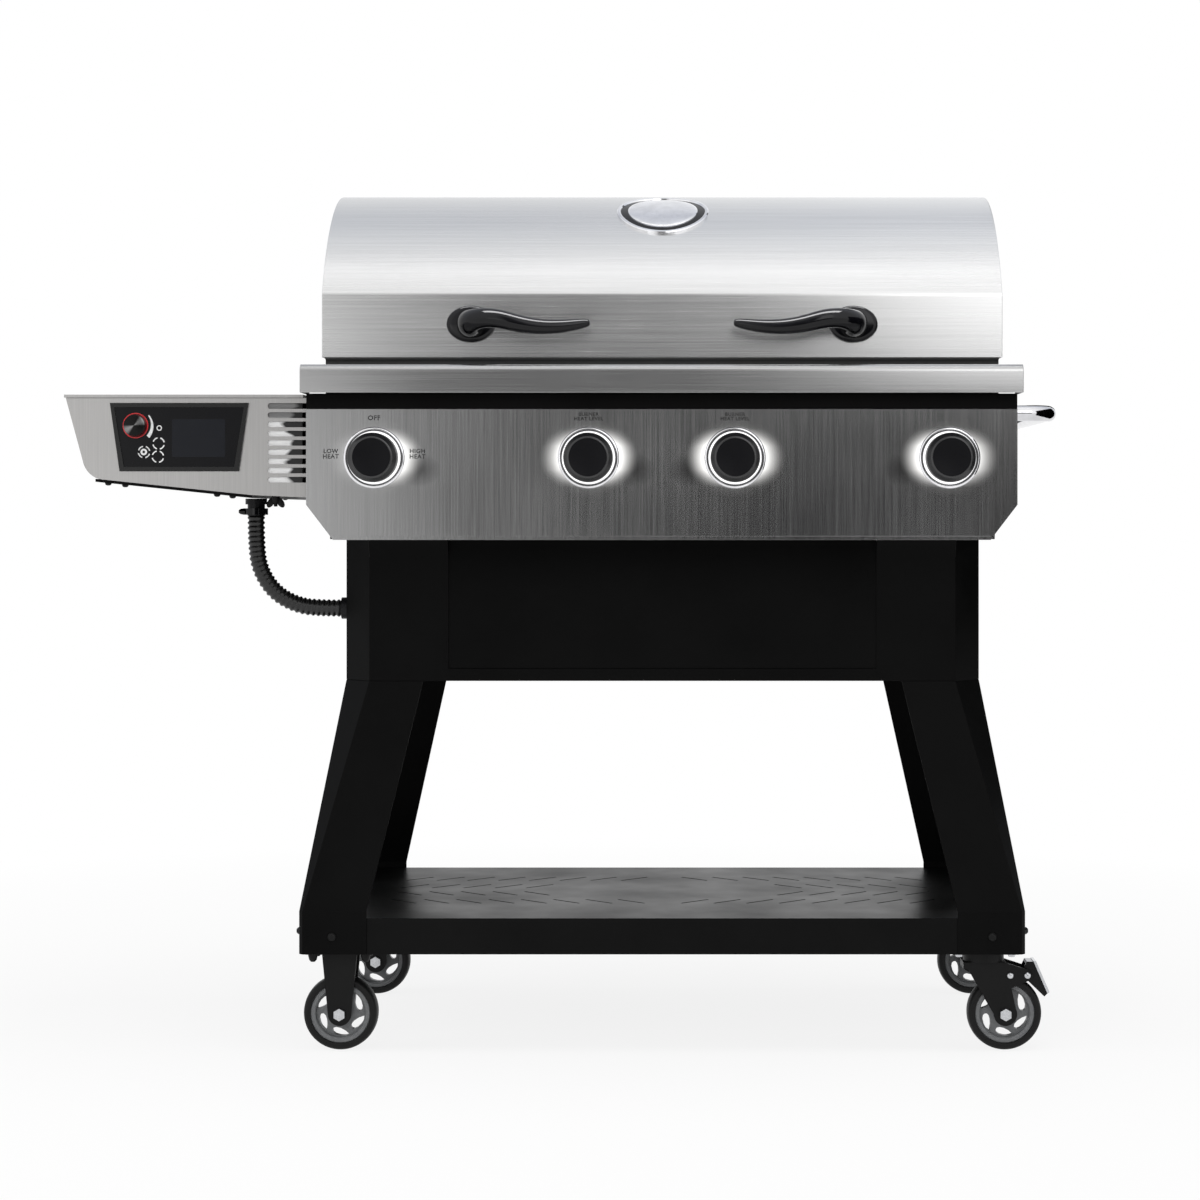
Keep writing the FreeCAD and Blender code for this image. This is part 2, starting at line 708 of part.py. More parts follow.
def axle_bolt(label, across, along, listed):
    """A bolt through the fork cheeks with a hexagon head in front and its nut behind."""
    body = new_body(label, listed)
    shank = dim.axle_diameter / 2
    near_end = along - cheek_outside
    far_end = along + cheek_outside
    turned(body, "Y", [(0, near_end), (shank, near_end), (shank, far_end), (0, far_end)], across, wheel_radius)
    head = hexagon(across, wheel_radius, dim.axle_head)
    prism(body, "XZ", [head], near_end - dim.axle_head_height, dim.axle_head_height)
    prism(body, "XZ", [head], far_end, dim.axle_head_height)
    return body


def swivel_plate(end):
    """The fixed half of a swivel caster: plate, ball race and kingpin."""
    body = new_body(f"swivel_plate_{end}", listed=False)
    across = dim.caster_spread / 2
    along = end_sign[end] * dim.caster_wheelbase / 2
    plate = centred(across, along, dim.caster_plate_width, dim.caster_plate_depth)
    plate_base = dim.caster_height - dim.caster_steel
    race_base = plate_base - dim.race_height
    head_top = race_base - dim.crown_thickness - 2 * dim.fit
    prism(body, "XY", [plate], plate_base, dim.caster_steel)
    profile = [
        (0, head_top - dim.caster_steel),
        (dim.kingpin_head / 2, head_top - dim.caster_steel),
        (dim.kingpin_head / 2, head_top),
        (dim.kingpin_diameter / 2, head_top),
        (dim.kingpin_diameter / 2, race_base),
        (dim.race_diameter / 2, race_base),
        (dim.race_diameter / 2, plate_base),
        (0, plate_base),
    ]
    turned(body, "Z", profile, across, along)
    return body


def swivel_fork(end):
    """Crown, cheeks and the ears that carry the brake pedal."""
    body = new_body(f"swivel_fork_{end}")
    pivot = dim.caster_spread / 2
    axle = pivot + dim.swivel_trail
    along = end_sign[end] * dim.caster_wheelbase / 2
    crown_top = dim.caster_height - dim.caster_steel - dim.race_height - dim.fit
    crown = centred(pivot, along, dim.race_diameter + dim.caster_steel, 2 * cheek_outside)
    prism(body, "XY", [crown], crown_top - dim.crown_thickness, dim.crown_thickness)
    left = pivot - dim.race_diameter / 2
    right = pivot + dim.race_diameter / 2
    add_cheeks(body, cheek_outline(left, right, crown_top, axle), axle, along)
    pin = pivot + dim.brake_pin_reach
    ear = [
        (right, crown_top),
        (pivot, crown_top - dim.crown_thickness),
        (axle, wheel_radius + dim.fork_toe),
        (pin, dim.brake_pin_height - dim.brake_pin_diameter),
        (pin + dim.brake_pin_diameter, dim.brake_pin_height),
        (pin, dim.brake_pin_height + dim.brake_pin_diameter),
    ]
    pin_hole = (pin, dim.brake_pin_height, dim.brake_pin_diameter / 2 + dim.running_fit)
    for start in (along - cheek_outside, along + cheek_inside):
        prism(body, "XZ", [ear], start, dim.caster_steel)
        cut(body, "XZ", [pin_hole], start, dim.caster_steel)
    kingpin_hole = (pivot, along, dim.kingpin_diameter / 2 + dim.running_fit)
    cut(body, "XY", [kingpin_hole], crown_top - dim.crown_thickness, dim.crown_thickness)


def brake_pedal(end):
    """A bent pedal with two side plates on a pin between the fork ears."""
    body = new_body(f"brake_pedal_{end}")
    pin = dim.caster_spread / 2 + dim.brake_pin_reach
    height = dim.brake_pin_height
    along = end_sign[end] * dim.caster_wheelbase / 2
    boss = dim.brake_pin_diameter * 0.75
    tread = [
        (pin - boss, height + boss),
        (pin - boss, height - boss / 2),
        (pin + boss / 3, height - 1.5 * boss),
        (pin + 4 * boss, height - 5 * boss),
        (pin + 5 * boss, height - 4 * boss),
        (pin + 2 * boss, height + 3 * boss),
        (pin, height + 3 * boss),
    ]
    prism(body, "XZ", [tread], along - dim.pedal_width / 2, dim.pedal_width)
    steel = dim.caster_steel
    hollow = [
        (pin - 1.4 * boss, height + 3 * boss - steel),
        (pin + 1.6 * boss, height + 3 * boss - steel),
        (pin + 4.2 * boss, height - 3.4 * boss),
        (pin + 2.8 * boss, height - 4.7 * boss),
        (pin - 1.4 * boss, height - 4.7 * boss),
    ]
    cut(body, "XZ", [hollow], along - dim.pedal_width / 2 + steel, dim.pedal_width - 2 * steel)
    length = 2 * cheek_outside
    prism(body, "XZ", [(pin, height, dim.brake_pin_diameter / 2)], along - cheek_outside, length)


def tyre(label, across, along):
    body = new_body(label)
    seat = dim.rim_diameter / 2
    half = dim.tyre_width / 2
    shoulder = dim.tyre_width / 6
    profile = [
        (seat, along - dim.rim_width / 2),
        (wheel_radius - shoulder, along - half),
        (wheel_radius, along - half + shoulder),
        (wheel_radius, along + half - shoulder),
        (wheel_radius - shoulder, along + half),
        (seat, along + dim.rim_width / 2),
    ]
    turned(body, "Y", profile, across, wheel_radius)


def wheel_hub(label, across, along):
    """A spoked hub: barrel, web with slanted openings and rim."""
    body = new_body(label)
    bore = dim.axle_diameter / 2 + dim.running_fit
    barrel = dim.hub_barrel / 2
    rim = dim.rim_diameter / 2
    web_edge = rim - dim.rim_wall
    ends = dim.hub_length / 2
    web = dim.hub_web / 2
    half_rim = dim.rim_width / 2
    profile = [
        (bore, along - ends),
        (barrel, along - ends),
        (barrel, along - web),
        (web_edge, along - web),
        (web_edge, along - half_rim),
        (rim, along - half_rim),
        (rim, along + half_rim),
        (web_edge, along + half_rim),
        (web_edge, along + web),
        (barrel, along + web),
        (barrel, along + ends),
        (bore, along + ends),
    ]
    turned(body, "Y", profile, across, wheel_radius)
    inner = barrel + 3
    outer = web_edge - 2
    opening = [
        (inner * 0.35, inner * 0.94),
        (outer * 0.17, outer * 0.98),
        (-outer * 0.31, outer * 0.95),
        (-inner * 0.09, inner * 0.99),
    ]
    sketch = sketch_on(body, "XZ", across=across, up=wheel_radius, out=web - along)
    draw_loops(sketch, [opening])
    pocket = body.newObject("PartDesign::Pocket", f"{body.Name}_opening")
    pocket.Profile = sketch
    bind(pocket, "Length", dim.hub_web)
    ring_of(body, pocket, dim.hub_openings)


# Cooking chamber

def firebox():
    """A folded trough with end plates, a rim flange under the lid and rails for grates and deflector."""
    body = new_body("firebox")
    gauge = dim.gauge
    face = firebox_front
    base = dim.cabinet_depth / 2
    rear_top = rim_height - dim.rear_vent
    outline = [
        (-face, rim_height),
        (-face, deck.firebox_waist),
        (-base, cabinet_top),
        (base, cabinet_top),
        (face, deck.firebox_waist),
        (face, rear_top),
    ]
    lining = [
        (face - gauge, rear_top),
        (face - gauge, deck.firebox_waist),
        (base - gauge, cabinet_top + gauge),
        (-base + gauge, cabinet_top + gauge),
        (-face + gauge, deck.firebox_waist),
        (-face + gauge, rim_height),
    ]
    prism(body, "YZ", [outline + lining], -firebox_end, dim.firebox_width)
    end_plate = outline[:-1] + [(face, rim_height)]
    prism(body, "YZ", [end_plate], -firebox_end, gauge)
    prism(body, "YZ", [end_plate], firebox_end - gauge, gauge)
    rim = face + dim.rim_flange
    front_flange = rectangle(-rim, rim_height - gauge, -face + gauge, rim_height)
    prism(body, "YZ", [front_flange], -firebox_end, dim.firebox_width)
    for height in (deck.grate_height, deck.deflector_edge):
        for end in (-1, 1):
            inside = end * (face - gauge / 2)
            tip = end * (face - gauge - dim.rail_width)
            rail = [(inside, height - gauge), (tip, height - gauge), (tip, height), (inside, height)]
            prism(body, "YZ", [rail], -firebox_end + gauge / 2, dim.firebox_width - gauge)
    cut(body, "YZ", [(0, deck.auger_height, auger_outside + dim.fit)], -firebox_end, gauge)
    cut(body, "XY", [(0, 0, dim.air_duct / 2)], cabinet_top, gauge)
    burner_hole = dim.burner_diameter / 2 + dim.fit
    cut(body, "XZ", [(across, deck.burner_height, burner_hole) for across in burner_places], -face, gauge)


def cooking_grate(number):
    body = new_body(f"cooking_grate_{number}", listed=False)
    room = dim.firebox_width - 2 * dim.gauge - 2 * dim.fit
    width = (room - (dim.grate_count - 1) * dim.grate_gap) / dim.grate_count
    left = -room / 2 + (number - 1) * (width + dim.grate_gap)
    depth = firebox_front - dim.gauge - dim.grate_gap
    plate = rectangle(left, -depth, left + width, depth)
    prism(body, "XY", [plate], deck.grate_height, dim.grate_thickness)
    clear = width - 2 * dim.grate_rim + dim.grate_bar
    pitch = clear / dim.grate_slots
    slot_left = left + dim.grate_rim
    slot_depth = depth - dim.rail_width
    slot = rectangle(slot_left, -slot_depth, slot_left + pitch - dim.grate_bar, slot_depth)
    pocket = cut(body, "XY", [slot], deck.grate_height, dim.grate_thickness)
    row_of(body, pocket, "H_Axis", pitch, dim.grate_slots)
    return body


def heat_deflector():
    """A ridged sheet over the burners that sheds grease to the rails."""
    body = new_body("heat_deflector")
    edge = firebox_front - dim.gauge - dim.grate_gap
    knee = edge - dim.rail_width
    base = deck.deflector_edge
    ridge = base + dim.deflector_rise
    outline = [(-edge, base), (-knee, base), (0, ridge), (knee, base), (edge, base)]
    upper = [(across, height + dim.gauge) for across, height in reversed(outline)]
    start = -firebox_end + dim.gauge + dim.grate_gap
    prism(body, "YZ", [outline + upper], start, dim.firebox_width - 2 * (dim.gauge + dim.grate_gap))


def fire_pot():
    body = new_body("fire_pot")
    floor = cabinet_top + dim.gauge
    outside = dim.pot_diameter / 2
    inside = outside - dim.pot_wall
    profile = [
        (dim.air_duct / 2, floor),
        (outside, floor),
        (outside, floor + dim.pot_height),
        (inside, floor + dim.pot_height),
        (inside, floor + dim.pot_wall),
        (dim.air_duct / 2, floor + dim.pot_wall),
    ]
    turned(body, "Z", profile, 0, 0)
    cut(body, "YZ", [(0, deck.auger_height, auger_outside + dim.fit)], -outside, outside)
    cut(body, "YZ", [(0, igniter_z, dim.igniter_diameter / 2 + dim.fit)], 0, outside)


def igniter_rod():
    body = new_body("igniter_rod")
    rod = dim.igniter_diameter / 2
    pot = dim.pot_diameter / 2
    start = pot - dim.pot_wall * 4
    collar = pot + dim.fit
    profile = [
        (0, start),
        (rod, start),
        (rod, collar),
        (rod * 1.6, collar),
        (rod * 1.6, collar + dim.igniter_length / 4),
        (rod, collar + dim.igniter_length / 4),
        (rod, start + dim.igniter_length),
        (0, start + dim.igniter_length),
    ]
    turned(body, "X", profile, 0, igniter_z)


def auger_tube():
    body = new_body("auger_tube")
    bore = dim.auger_bore / 2
    end = -dim.pot_diameter / 2 + dim.pot_wall
    profile = [(bore, -auger_inlet), (auger_outside, -auger_inlet), (auger_outside, end), (bore, end)]
    turned(body, "X", profile, 0, deck.auger_height)
    feed_left = -auger_inlet + dim.auger_wall * 4
    feed = rectangle(feed_left, -bore + dim.fit, feed_left + dim.auger_feed, bore - dim.fit)
    cut(body, "XY", [feed], deck.auger_height, auger_outside)


def auger_motor():
    body = new_body("auger_motor")
    start = -auger_inlet - dim.motor_length
    middle = deck.auger_height + dim.auger_shaft / 3
    block = centred(0, middle, dim.motor_width, dim.motor_height)
    prism(body, "YZ", [block], start, dim.motor_length)
    socket = (0, deck.auger_height, dim.auger_shaft / 2 + dim.running_fit)
    cut(body, "YZ", [socket], -auger_inlet - dim.auger_shaft, dim.auger_shaft)


def auger_screw():
    """A shaft with one helical flight, made of flat facets."""
    shaft_radius = value_of(dim.auger_shaft) / 2
    flight_radius = value_of(dim.auger_flight) / 2
    pitch = value_of(dim.auger_pitch)
    half = value_of(dim.flight_thickness) / 2
    start = -value_of(auger_inlet) - value_of(dim.auger_shaft) + 2 * value_of(dim.fit)
    flight_start = -value_of(auger_inlet) + 3 * half
    end = -value_of(dim.pot_diameter) / 2 - half
    height = value_of(deck.auger_height)
    root = shaft_radius * 0.7
    steps = 10
    spans = int((end - flight_start - 4 * half) / pitch * steps)
    sections = []
    for index in range(spans + 1):
        angle = 2 * math.pi * index / steps
        middle = flight_start + 2 * half + pitch * index / steps
        corners = []
        for radius, offset in ((root, -half), (flight_radius, -half), (flight_radius, half), (root, half)):
            spoke = Vector(0, math.cos(angle), math.sin(angle)) * radius
            corners.append(Vector(middle + offset, 0, height) + spoke)
        sections.append(corners)
    facets = [sections[0], sections[-1]]
    for first, second in zip(sections, sections[1:]):
        for side in range(4):
            following = (side + 1) % 4
            facets.append([first[side], first[following], second[following]])
            facets.append([first[side], second[following], second[side]])
    faces = [Part.Face(Part.makePolygon(facet + facet[:1])) for facet in facets]
    flight = Part.Solid(Part.Shell(faces))
    if flight.Volume < 0:
        flight.reverse()
    shaft = Part.makeCylinder(shaft_radius, end - start, Vector(start, 0, height), Vector(1, 0, 0))
    subparts.append(shaped("auger_screw", shaft.fuse(flight)))


def fan_housing():
    """A blower case hung under the firebox by its duct, with the motor below."""
    body = new_body("fan_housing")
    gauge = dim.gauge
    case_top = cabinet_top - dim.fan_drop
    case_base = case_top - dim.fan_height
    duct = dim.air_duct / 2
    case = dim.fan_diameter / 2
    shaft = dim.fan_shaft / 2
    profile = [
        (0, case_base - dim.fan_motor_height),
        (dim.fan_motor_diameter / 2, case_base - dim.fan_motor_height),
        (dim.fan_motor_diameter / 2, case_base),
        (case, case_base),
        (case, case_top),
        (duct + gauge, case_top),
        (duct + gauge, cabinet_top),
        (duct, cabinet_top),
        (duct, case_top - gauge),
        (case - gauge, case_top - gauge),
        (case - gauge, case_base + gauge),
        (shaft, case_base + gauge),
        (shaft, case_top - 4 * gauge),
        (0, case_top - 4 * gauge),
    ]
    turned(body, "Z", profile, 0, 0)


def fan_rotor():
    body = new_body("fan_rotor")
    gauge = dim.gauge
    base = cabinet_top - dim.fan_drop - dim.fan_height + 3 * gauge
    top = cabinet_top - dim.fan_drop - 6 * gauge
    bore = dim.fan_shaft / 2 + dim.running_fit
    hub = dim.fan_shaft
    rim = dim.rotor_diameter / 2
    profile = [(bore, base), (rim, base), (rim, base + gauge), (hub, base + gauge), (hub, top), (bore, top)]
    turned(body, "Z", profile, 0, 0)
    blade = rectangle(rim * 0.5, -gauge / 2, rim, gauge / 2)
    pad = prism(body, "XY", [blade], base, top - base)
    ring_of(body, pad, dim.rotor_blades)


# Gas set

def gas_burner(number, across):
    body = new_body(f"gas_burner_{number}", listed=False)
    radius = dim.burner_diameter / 2
    start = -burner_front + dim.fit
    end = start + dim.burner_length
    profile = [(0, start), (radius, start), (radius, end), (0, end)]
    turned(body, "Y", profile, across, deck.burner_height)
    return body


def valve_body(label, across, height, listed=False):
    """A block behind the control box wall that takes the stem of a knob."""
    body = new_body(label, listed)
    half = dim.valve_width / 2
    block = rectangle(across - half, deck.knob_height - half, across + half, deck.knob_height + height)
    prism(body, "XZ", [block], -control_wall, dim.valve_depth)
    bore = (across, deck.knob_height, dim.knob_stem / 2 + dim.running_fit)
    cut(body, "XZ", [bore], -control_wall, dim.knob_stem_length)
    return body


def gas_manifold():
    """A pipe under the valves that bends back along the right end to a threaded inlet."""
    radius = value_of(dim.manifold_diameter) / 2
    bend = value_of(dim.manifold_bend)
    height = value_of(deck.knob_height - dim.valve_width / 2 - dim.fit) - radius
    along = -value_of(control_wall - dim.valve_depth / 2)
    start = -value_of(dim.knob_inner + dim.valve_width / 2)
    corner = value_of(firebox_end + dim.fit * 4 + dim.inlet_diameter / 2)
    inlet_start = value_of(firebox_front + dim.fit * 4)
    inlet_end = inlet_start + value_of(dim.inlet_length)
    last = Vector(corner, inlet_start, height)
    route = [Vector(start, along, height), Vector(corner, along, height), last]
    pipe = swept(route, radius, [bend])
    inlet_radius = value_of(dim.inlet_diameter) / 2
    inlet = Part.makeCylinder(inlet_radius, inlet_end - inlet_start, last, Vector(0, 1, 0))
    subparts.append(shaped("gas_manifold", pipe.fuse(inlet).removeSplitter()))


def swept(points, radius, bends):
    """A round bar along straight runs, with a tangent bend of the given radius at each inner point."""
    pieces = []
    start = points[0]
    for before, corner, after, bend in zip(points, points[1:], points[2:], bends):
        arriving = (corner - before).normalize()
        leaving = (after - corner).normalize()
        turn = arriving.getAngle(leaving)
        reach = bend * math.tan(turn / 2)
        bend_start = corner - arriving * reach
        centre = bend_start + (leaving - arriving * arriving.dot(leaving)).normalize() * bend
        disc = Part.Face(Part.Wire(Part.makeCircle(radius, bend_start, arriving)))
        pieces.append(Part.makeCylinder(radius, (bend_start - start).Length, start, arriving))
        pieces.append(disc.revolve(centre, arriving.cross(leaving), math.degrees(turn)))
        start = corner + leaving * reach
    last = points[-1] - start
    pieces.append(Part.makeCylinder(radius, last.Length, start, last))
    return pieces[0].fuse(pieces[1:]).removeSplitter()


# Control panel

def panel_outline(half_width, base, top, rise):
    """The panel with its lower corners cut off."""
    foot = half_width - dim.panel_chamfer_width
    return [(-foot, base), (foot, base), (half_width, base + rise), (half_width, top), (-half_width, top),
            (-half_width, base + rise)]


def control_box():
    body = new_body("control_box")
    gauge = dim.gauge
    back = firebox_front + dim.fit
    rise = dim.panel_chamfer_height
    outline = panel_outline(dim.panel_width / 2, cabinet_top, band_top, rise)
    prism(body, "XZ", [outline], -panel_back, panel_back - back)
    hollow = panel_outline(dim.panel_width / 2 - gauge, cabinet_top + gauge, band_top - gauge, rise)
    cut(body, "XZ", [hollow], -control_wall, control_wall - back)
    holes = [(across, deck.knob_height, dim.stem_hole / 2) for across in knob_places]
    cut(body, "XZ", holes, -panel_back, gauge)


def control_panel():
    body = new_body("control_panel")
    outline = panel_outline(dim.panel_width / 2, cabinet_top, deck.panel_top, dim.panel_chamfer_height)
    prism(body, "XZ", [outline], -dim.panel_front, dim.gauge)
    holes = [(across, deck.knob_height, dim.stem_hole / 2) for across in knob_places]
    cut(body, "XZ", holes, -dim.panel_front, dim.gauge)
    foot = dim.panel_width / 2 - dim.panel_chamfer_width
    hem = rectangle(-foot, cabinet_top, foot, cabinet_top + dim.panel_hem)
    prism(body, "XZ", [hem], -dim.panel_front - dim.panel_hem_reach, dim.panel_hem_reach)


def front_ledge():
    body = new_body("front_ledge")
    half = dim.ledge_width / 2
    back = firebox_front + dim.fit
    depth = dim.ledge_front - back
    prism(body, "XZ", [rectangle(-half, band_top, half, ledge_top)], -dim.ledge_front, depth)
    rounded(body, dim.ledge_round, lambda point: near(-dim.ledge_front, point.y) and near(ledge_top, point.z))
    gauge = dim.gauge
    hollow = rectangle(-half + gauge, band_top, half - gauge, ledge_top - gauge - dim.ledge_round / 4)
    cut(body, "XZ", [hollow], -dim.ledge_front + gauge, depth - gauge)


def knob(label, across):
    body = new_body(label)
    back = -dim.panel_front - dim.bezel_depth - 1
    front = back - dim.knob_depth
    stem = dim.knob_stem / 2
    profile = [
        (0, front + dim.knob_dish),
        (dim.knob_face / 2 - dim.knob_land, front + dim.knob_dish),
        (dim.knob_face / 2 - dim.knob_land, front),
        (dim.knob_face / 2, front),
        (dim.knob_diameter / 2, front + dim.knob_bevel),
        (dim.knob_diameter / 2, back),
        (stem, back),
        (stem, back + dim.knob_stem_length),
        (0, back + dim.knob_stem_length),
    ]
    turned(body, "Y", profile, across, deck.knob_height)


def knob_bezel(number, across):
    body = new_body(f"knob_bezel_{number}", listed=False)
    bore = dim.bezel_bore / 2
    outside = dim.bezel_diameter / 2
    face = -dim.panel_front
    profile = [
        (bore, face - dim.bezel_depth),
        ((bore + outside) / 2, face - dim.bezel_depth),
        (outside, face - dim.bezel_depth / 3),
        (outside, face),
        (bore, face),
    ]
    turned(body, "Y", profile, across, deck.knob_height)
    return body


# Lid

def lid_outline(half_depth, base, crease, top):
    """Upright front and back with one arch between them."""
    rise = top - crease
    radius = (half_depth * half_depth + rise * rise) / (2 * rise)
    return [(-half_depth, base), (half_depth, base), (half_depth, crease, radius), (-half_depth, crease)]


def lid_shell():
    body = new_body("lid_shell")
    half_depth = dim.lid_depth / 2
    half_width = dim.lid_width / 2
    gauge = dim.gauge
    outline = lid_outline(half_depth, deck.lid_base, deck.lid_crease, deck.lid_top)
    prism(body, "YZ", [outline], -half_width, dim.lid_width)
    rounded(body, dim.lid_bend, lambda point: near(deck.lid_crease, point.z) and near(0, point.x))
    inside = lid_outline(half_depth - gauge, deck.lid_base, deck.lid_crease - gauge, deck.lid_top - gauge)
    cut(body, "YZ", [inside], -half_width + gauge, dim.lid_width - 2 * gauge)


# Stations of a lid handle's horn: along from the rose, out from the lid, rise and radius
HORN = [
    (0, 0, 0, 13.5),
    (0, 20, 0, 13.5),
    (6, 36, 4, 13.4),
    (20, 47, 6.5, 13.4),
    (42, 52, 4.5, 13.3),
    (67, 53, -3.5, 12.5),
    (101, 52, -8, 10.6),
    (134, 50, -5.5, 9),
    (157, 48, -1.5, 6.8),
    (161, 48, -1, 5),
    (163, 48, -1, 2.5),
]
HORN_SIDES = 14


def lid_handle(label, side):
    """An oval rose on the lid and a tapering horn that sways towards the middle."""
    face = -value_of(dim.lid_depth) / 2
    root_x = side * value_of(dim.handle_spread) / 2
    height = value_of(deck.handle_height)
    oval = Part.Ellipse(Vector(0, 0, 0), value_of(dim.rose_width) / 2, value_of(dim.rose_height) / 2)
    rose = Part.Face(Part.Wire(oval.toShape())).extrude(Vector(0, 0, value_of(dim.rose_depth)))
    rose.rotate(Vector(0, 0, 0), Vector(1, 0, 0), 90)
    rose.translate(Vector(root_x, face, height))
    points = [Vector(root_x - side * along, face - out, height + rise) for along, out, rise, radius in HORN]
    sections = []
    for index, point in enumerate(points):
        before = points[max(index - 1, 0)]
        after = points[min(index + 1, len(points) - 1)]
        turn = FreeCAD.Rotation(Vector(0, 0, 1), Vector(), after - before, "ZXY")
        corners = []
        for step in range(HORN_SIDES):
            angle = 2 * math.pi * step / HORN_SIDES
            spoke = Vector(math.cos(angle), math.sin(angle), 0) * HORN[index][3]
            corners.append(point + turn.multVec(spoke))
        sections.append(Part.makePolygon(corners + corners[:1]))
    horn = Part.makeLoft(sections, True, True)
    return shaped(label, rose.fuse(horn).removeSplitter())


def hinge_leaf(label, across):
    """The half of a hinge that is fixed to the back of the lid."""
    body = new_body(label, listed=False)
    half = dim.hinge_leaf / 2
    back = dim.lid_depth / 2
    plate = rectangle(back, hinge_z, back + dim.hinge_steel, hinge_z + dim.leaf_height)
    prism(body, "YZ", [plate], across - half, dim.hinge_leaf)
    prism(body, "YZ", [(hinge_y, hinge_z, dim.hinge_barrel / 2)], across - half, dim.hinge_leaf)
    cut(body, "YZ", [(hinge_y, hinge_z, dim.hinge_pin / 2 + dim.running_fit)], across - half, dim.hinge_leaf)
    return body


def hinge_bracket(label, across):
    """The fixed half of a hinge: a plate on the firebox, two knuckles and the pin."""
    body = new_body(label, listed=False)
    half = dim.hinge_width / 2
    face = firebox_front
    plate = rectangle(face, hinge_z - dim.bracket_drop, face + dim.hinge_steel, hinge_z)
    prism(body, "YZ", [plate], across - half, dim.hinge_width)
    knuckle = half - dim.hinge_leaf / 2 - dim.hinge_side_gap
    arm = rectangle(face, hinge_z - dim.hinge_barrel / 2, hinge_y, hinge_z)
    for start in (across - half, across + half - knuckle):
        prism(body, "YZ", [arm], start, knuckle)
        prism(body, "YZ", [(hinge_y, hinge_z, dim.hinge_barrel / 2)], start, knuckle)
    prism(body, "YZ", [(hinge_y, hinge_z, dim.hinge_pin / 2)], across - half, dim.hinge_width)
    return body


# Side box

def box_outline(inset, top):
    """The front outline of the side box, set in by a wall."""
    return [
        (-box_left + inset, top),
        (-box_left_low + inset, deck.box_left_height + inset / 2),
        (-box_corner + inset / 2, deck.box_corner_height + inset),
        (-box_step, deck.box_step_height + inset),
        (-box_right - inset, deck.box_right_height + inset),
        (-box_right - inset, top),
    ]


def controller_outline(inset):
    """The controller's face, narrower at its foot."""
    middle = -controller_x
    top = deck.controller_base + dim.controller_height
    return [
        (middle - dim.controller_foot / 2 + inset, deck.controller_base + inset),
        (middle + dim.controller_foot / 2 - inset, deck.controller_base + inset),
        (middle + dim.controller_top / 2 - inset, top - inset),
        (middle - dim.controller_top / 2 + inset, top - inset),
    ]


def side_box():
    body = new_body("side_box")
    gauge = dim.gauge
    depth = dim.box_front + dim.box_back
    prism(body, "XZ", [box_outline(0 * gauge, deck.box_top)], -dim.box_front, depth)
    cut(body, "XZ", [box_outline(gauge, deck.box_top + gauge)], -dim.box_front + gauge, depth - 2 * gauge)
    cut(body, "XZ", [controller_outline(dim.controller_rim)], -dim.box_front, gauge)
    tabs = []
    for along in (-dim.box_front / 3, dim.box_front / 3):
        tabs.append(centred(along, deck.auger_height, dim.tab_width, dim.tab_height))
    prism(body, "YZ", tabs, -box_right, box_right - firebox_end)
    cut(body, "YZ", [(0, deck.auger_height, auger_outside + dim.fit)], -box_right - gauge, gauge)
    lug_back = hopper_hinge_y + dim.hopper_hinge_barrel / 2
    lug = rectangle(dim.box_back - gauge, hopper_hinge_z - dim.hopper_hinge_barrel, lug_back, deck.box_top)
    pin = (hopper_hinge_y, hopper_hinge_z, dim.hopper_hinge_pin / 2)
    half = dim.hopper_hinge_length / 2
    for start, pin_start in ((hopper_middle - half - dim.hopper_lug - 1, hopper_middle - half - 1),
                             (hopper_middle + half + 1, hopper_middle + half + 1 - dim.hopper_lug)):
        prism(body, "YZ", [lug], start, dim.hopper_lug)
        prism(body, "YZ", [pin], pin_start, dim.hopper_lug)
    rest = rectangle(-hopper_lid_right - dim.hopper_rest, deck.box_top - gauge, -box_right, deck.box_top)
    prism(body, "XZ", [rest], -dim.box_front, depth)
    vent_end = dim.vent_height * 0.55
    vent_left = -box_right - dim.vent_left + vent_end
    vent = [
        (vent_left, deck.vent_first - dim.vent_height / 2),
        (-box_right - gauge, deck.vent_first - dim.vent_height / 2),
        (-box_right - gauge, deck.vent_first + dim.vent_height / 2),
        (vent_left, deck.vent_first + dim.vent_height / 2, vent_end),
    ]
    pocket = cut(body, "XZ", [vent], -dim.box_front, gauge)
    row_of(body, pocket, "V_Axis", dim.vent_pitch, dim.vent_count, backwards=True)


def side_box_floor():
    body = new_body("side_box_floor")
    strip = [
        (-box_corner, deck.box_corner_height),
        (-box_step, deck.box_step_height),
        (-box_step, deck.box_step_height - dim.floor_plate),
        (-box_corner, deck.box_corner_height - dim.floor_plate),
    ]
    prism(body, "XZ", [strip], -dim.box_front, dim.box_front + dim.box_back)


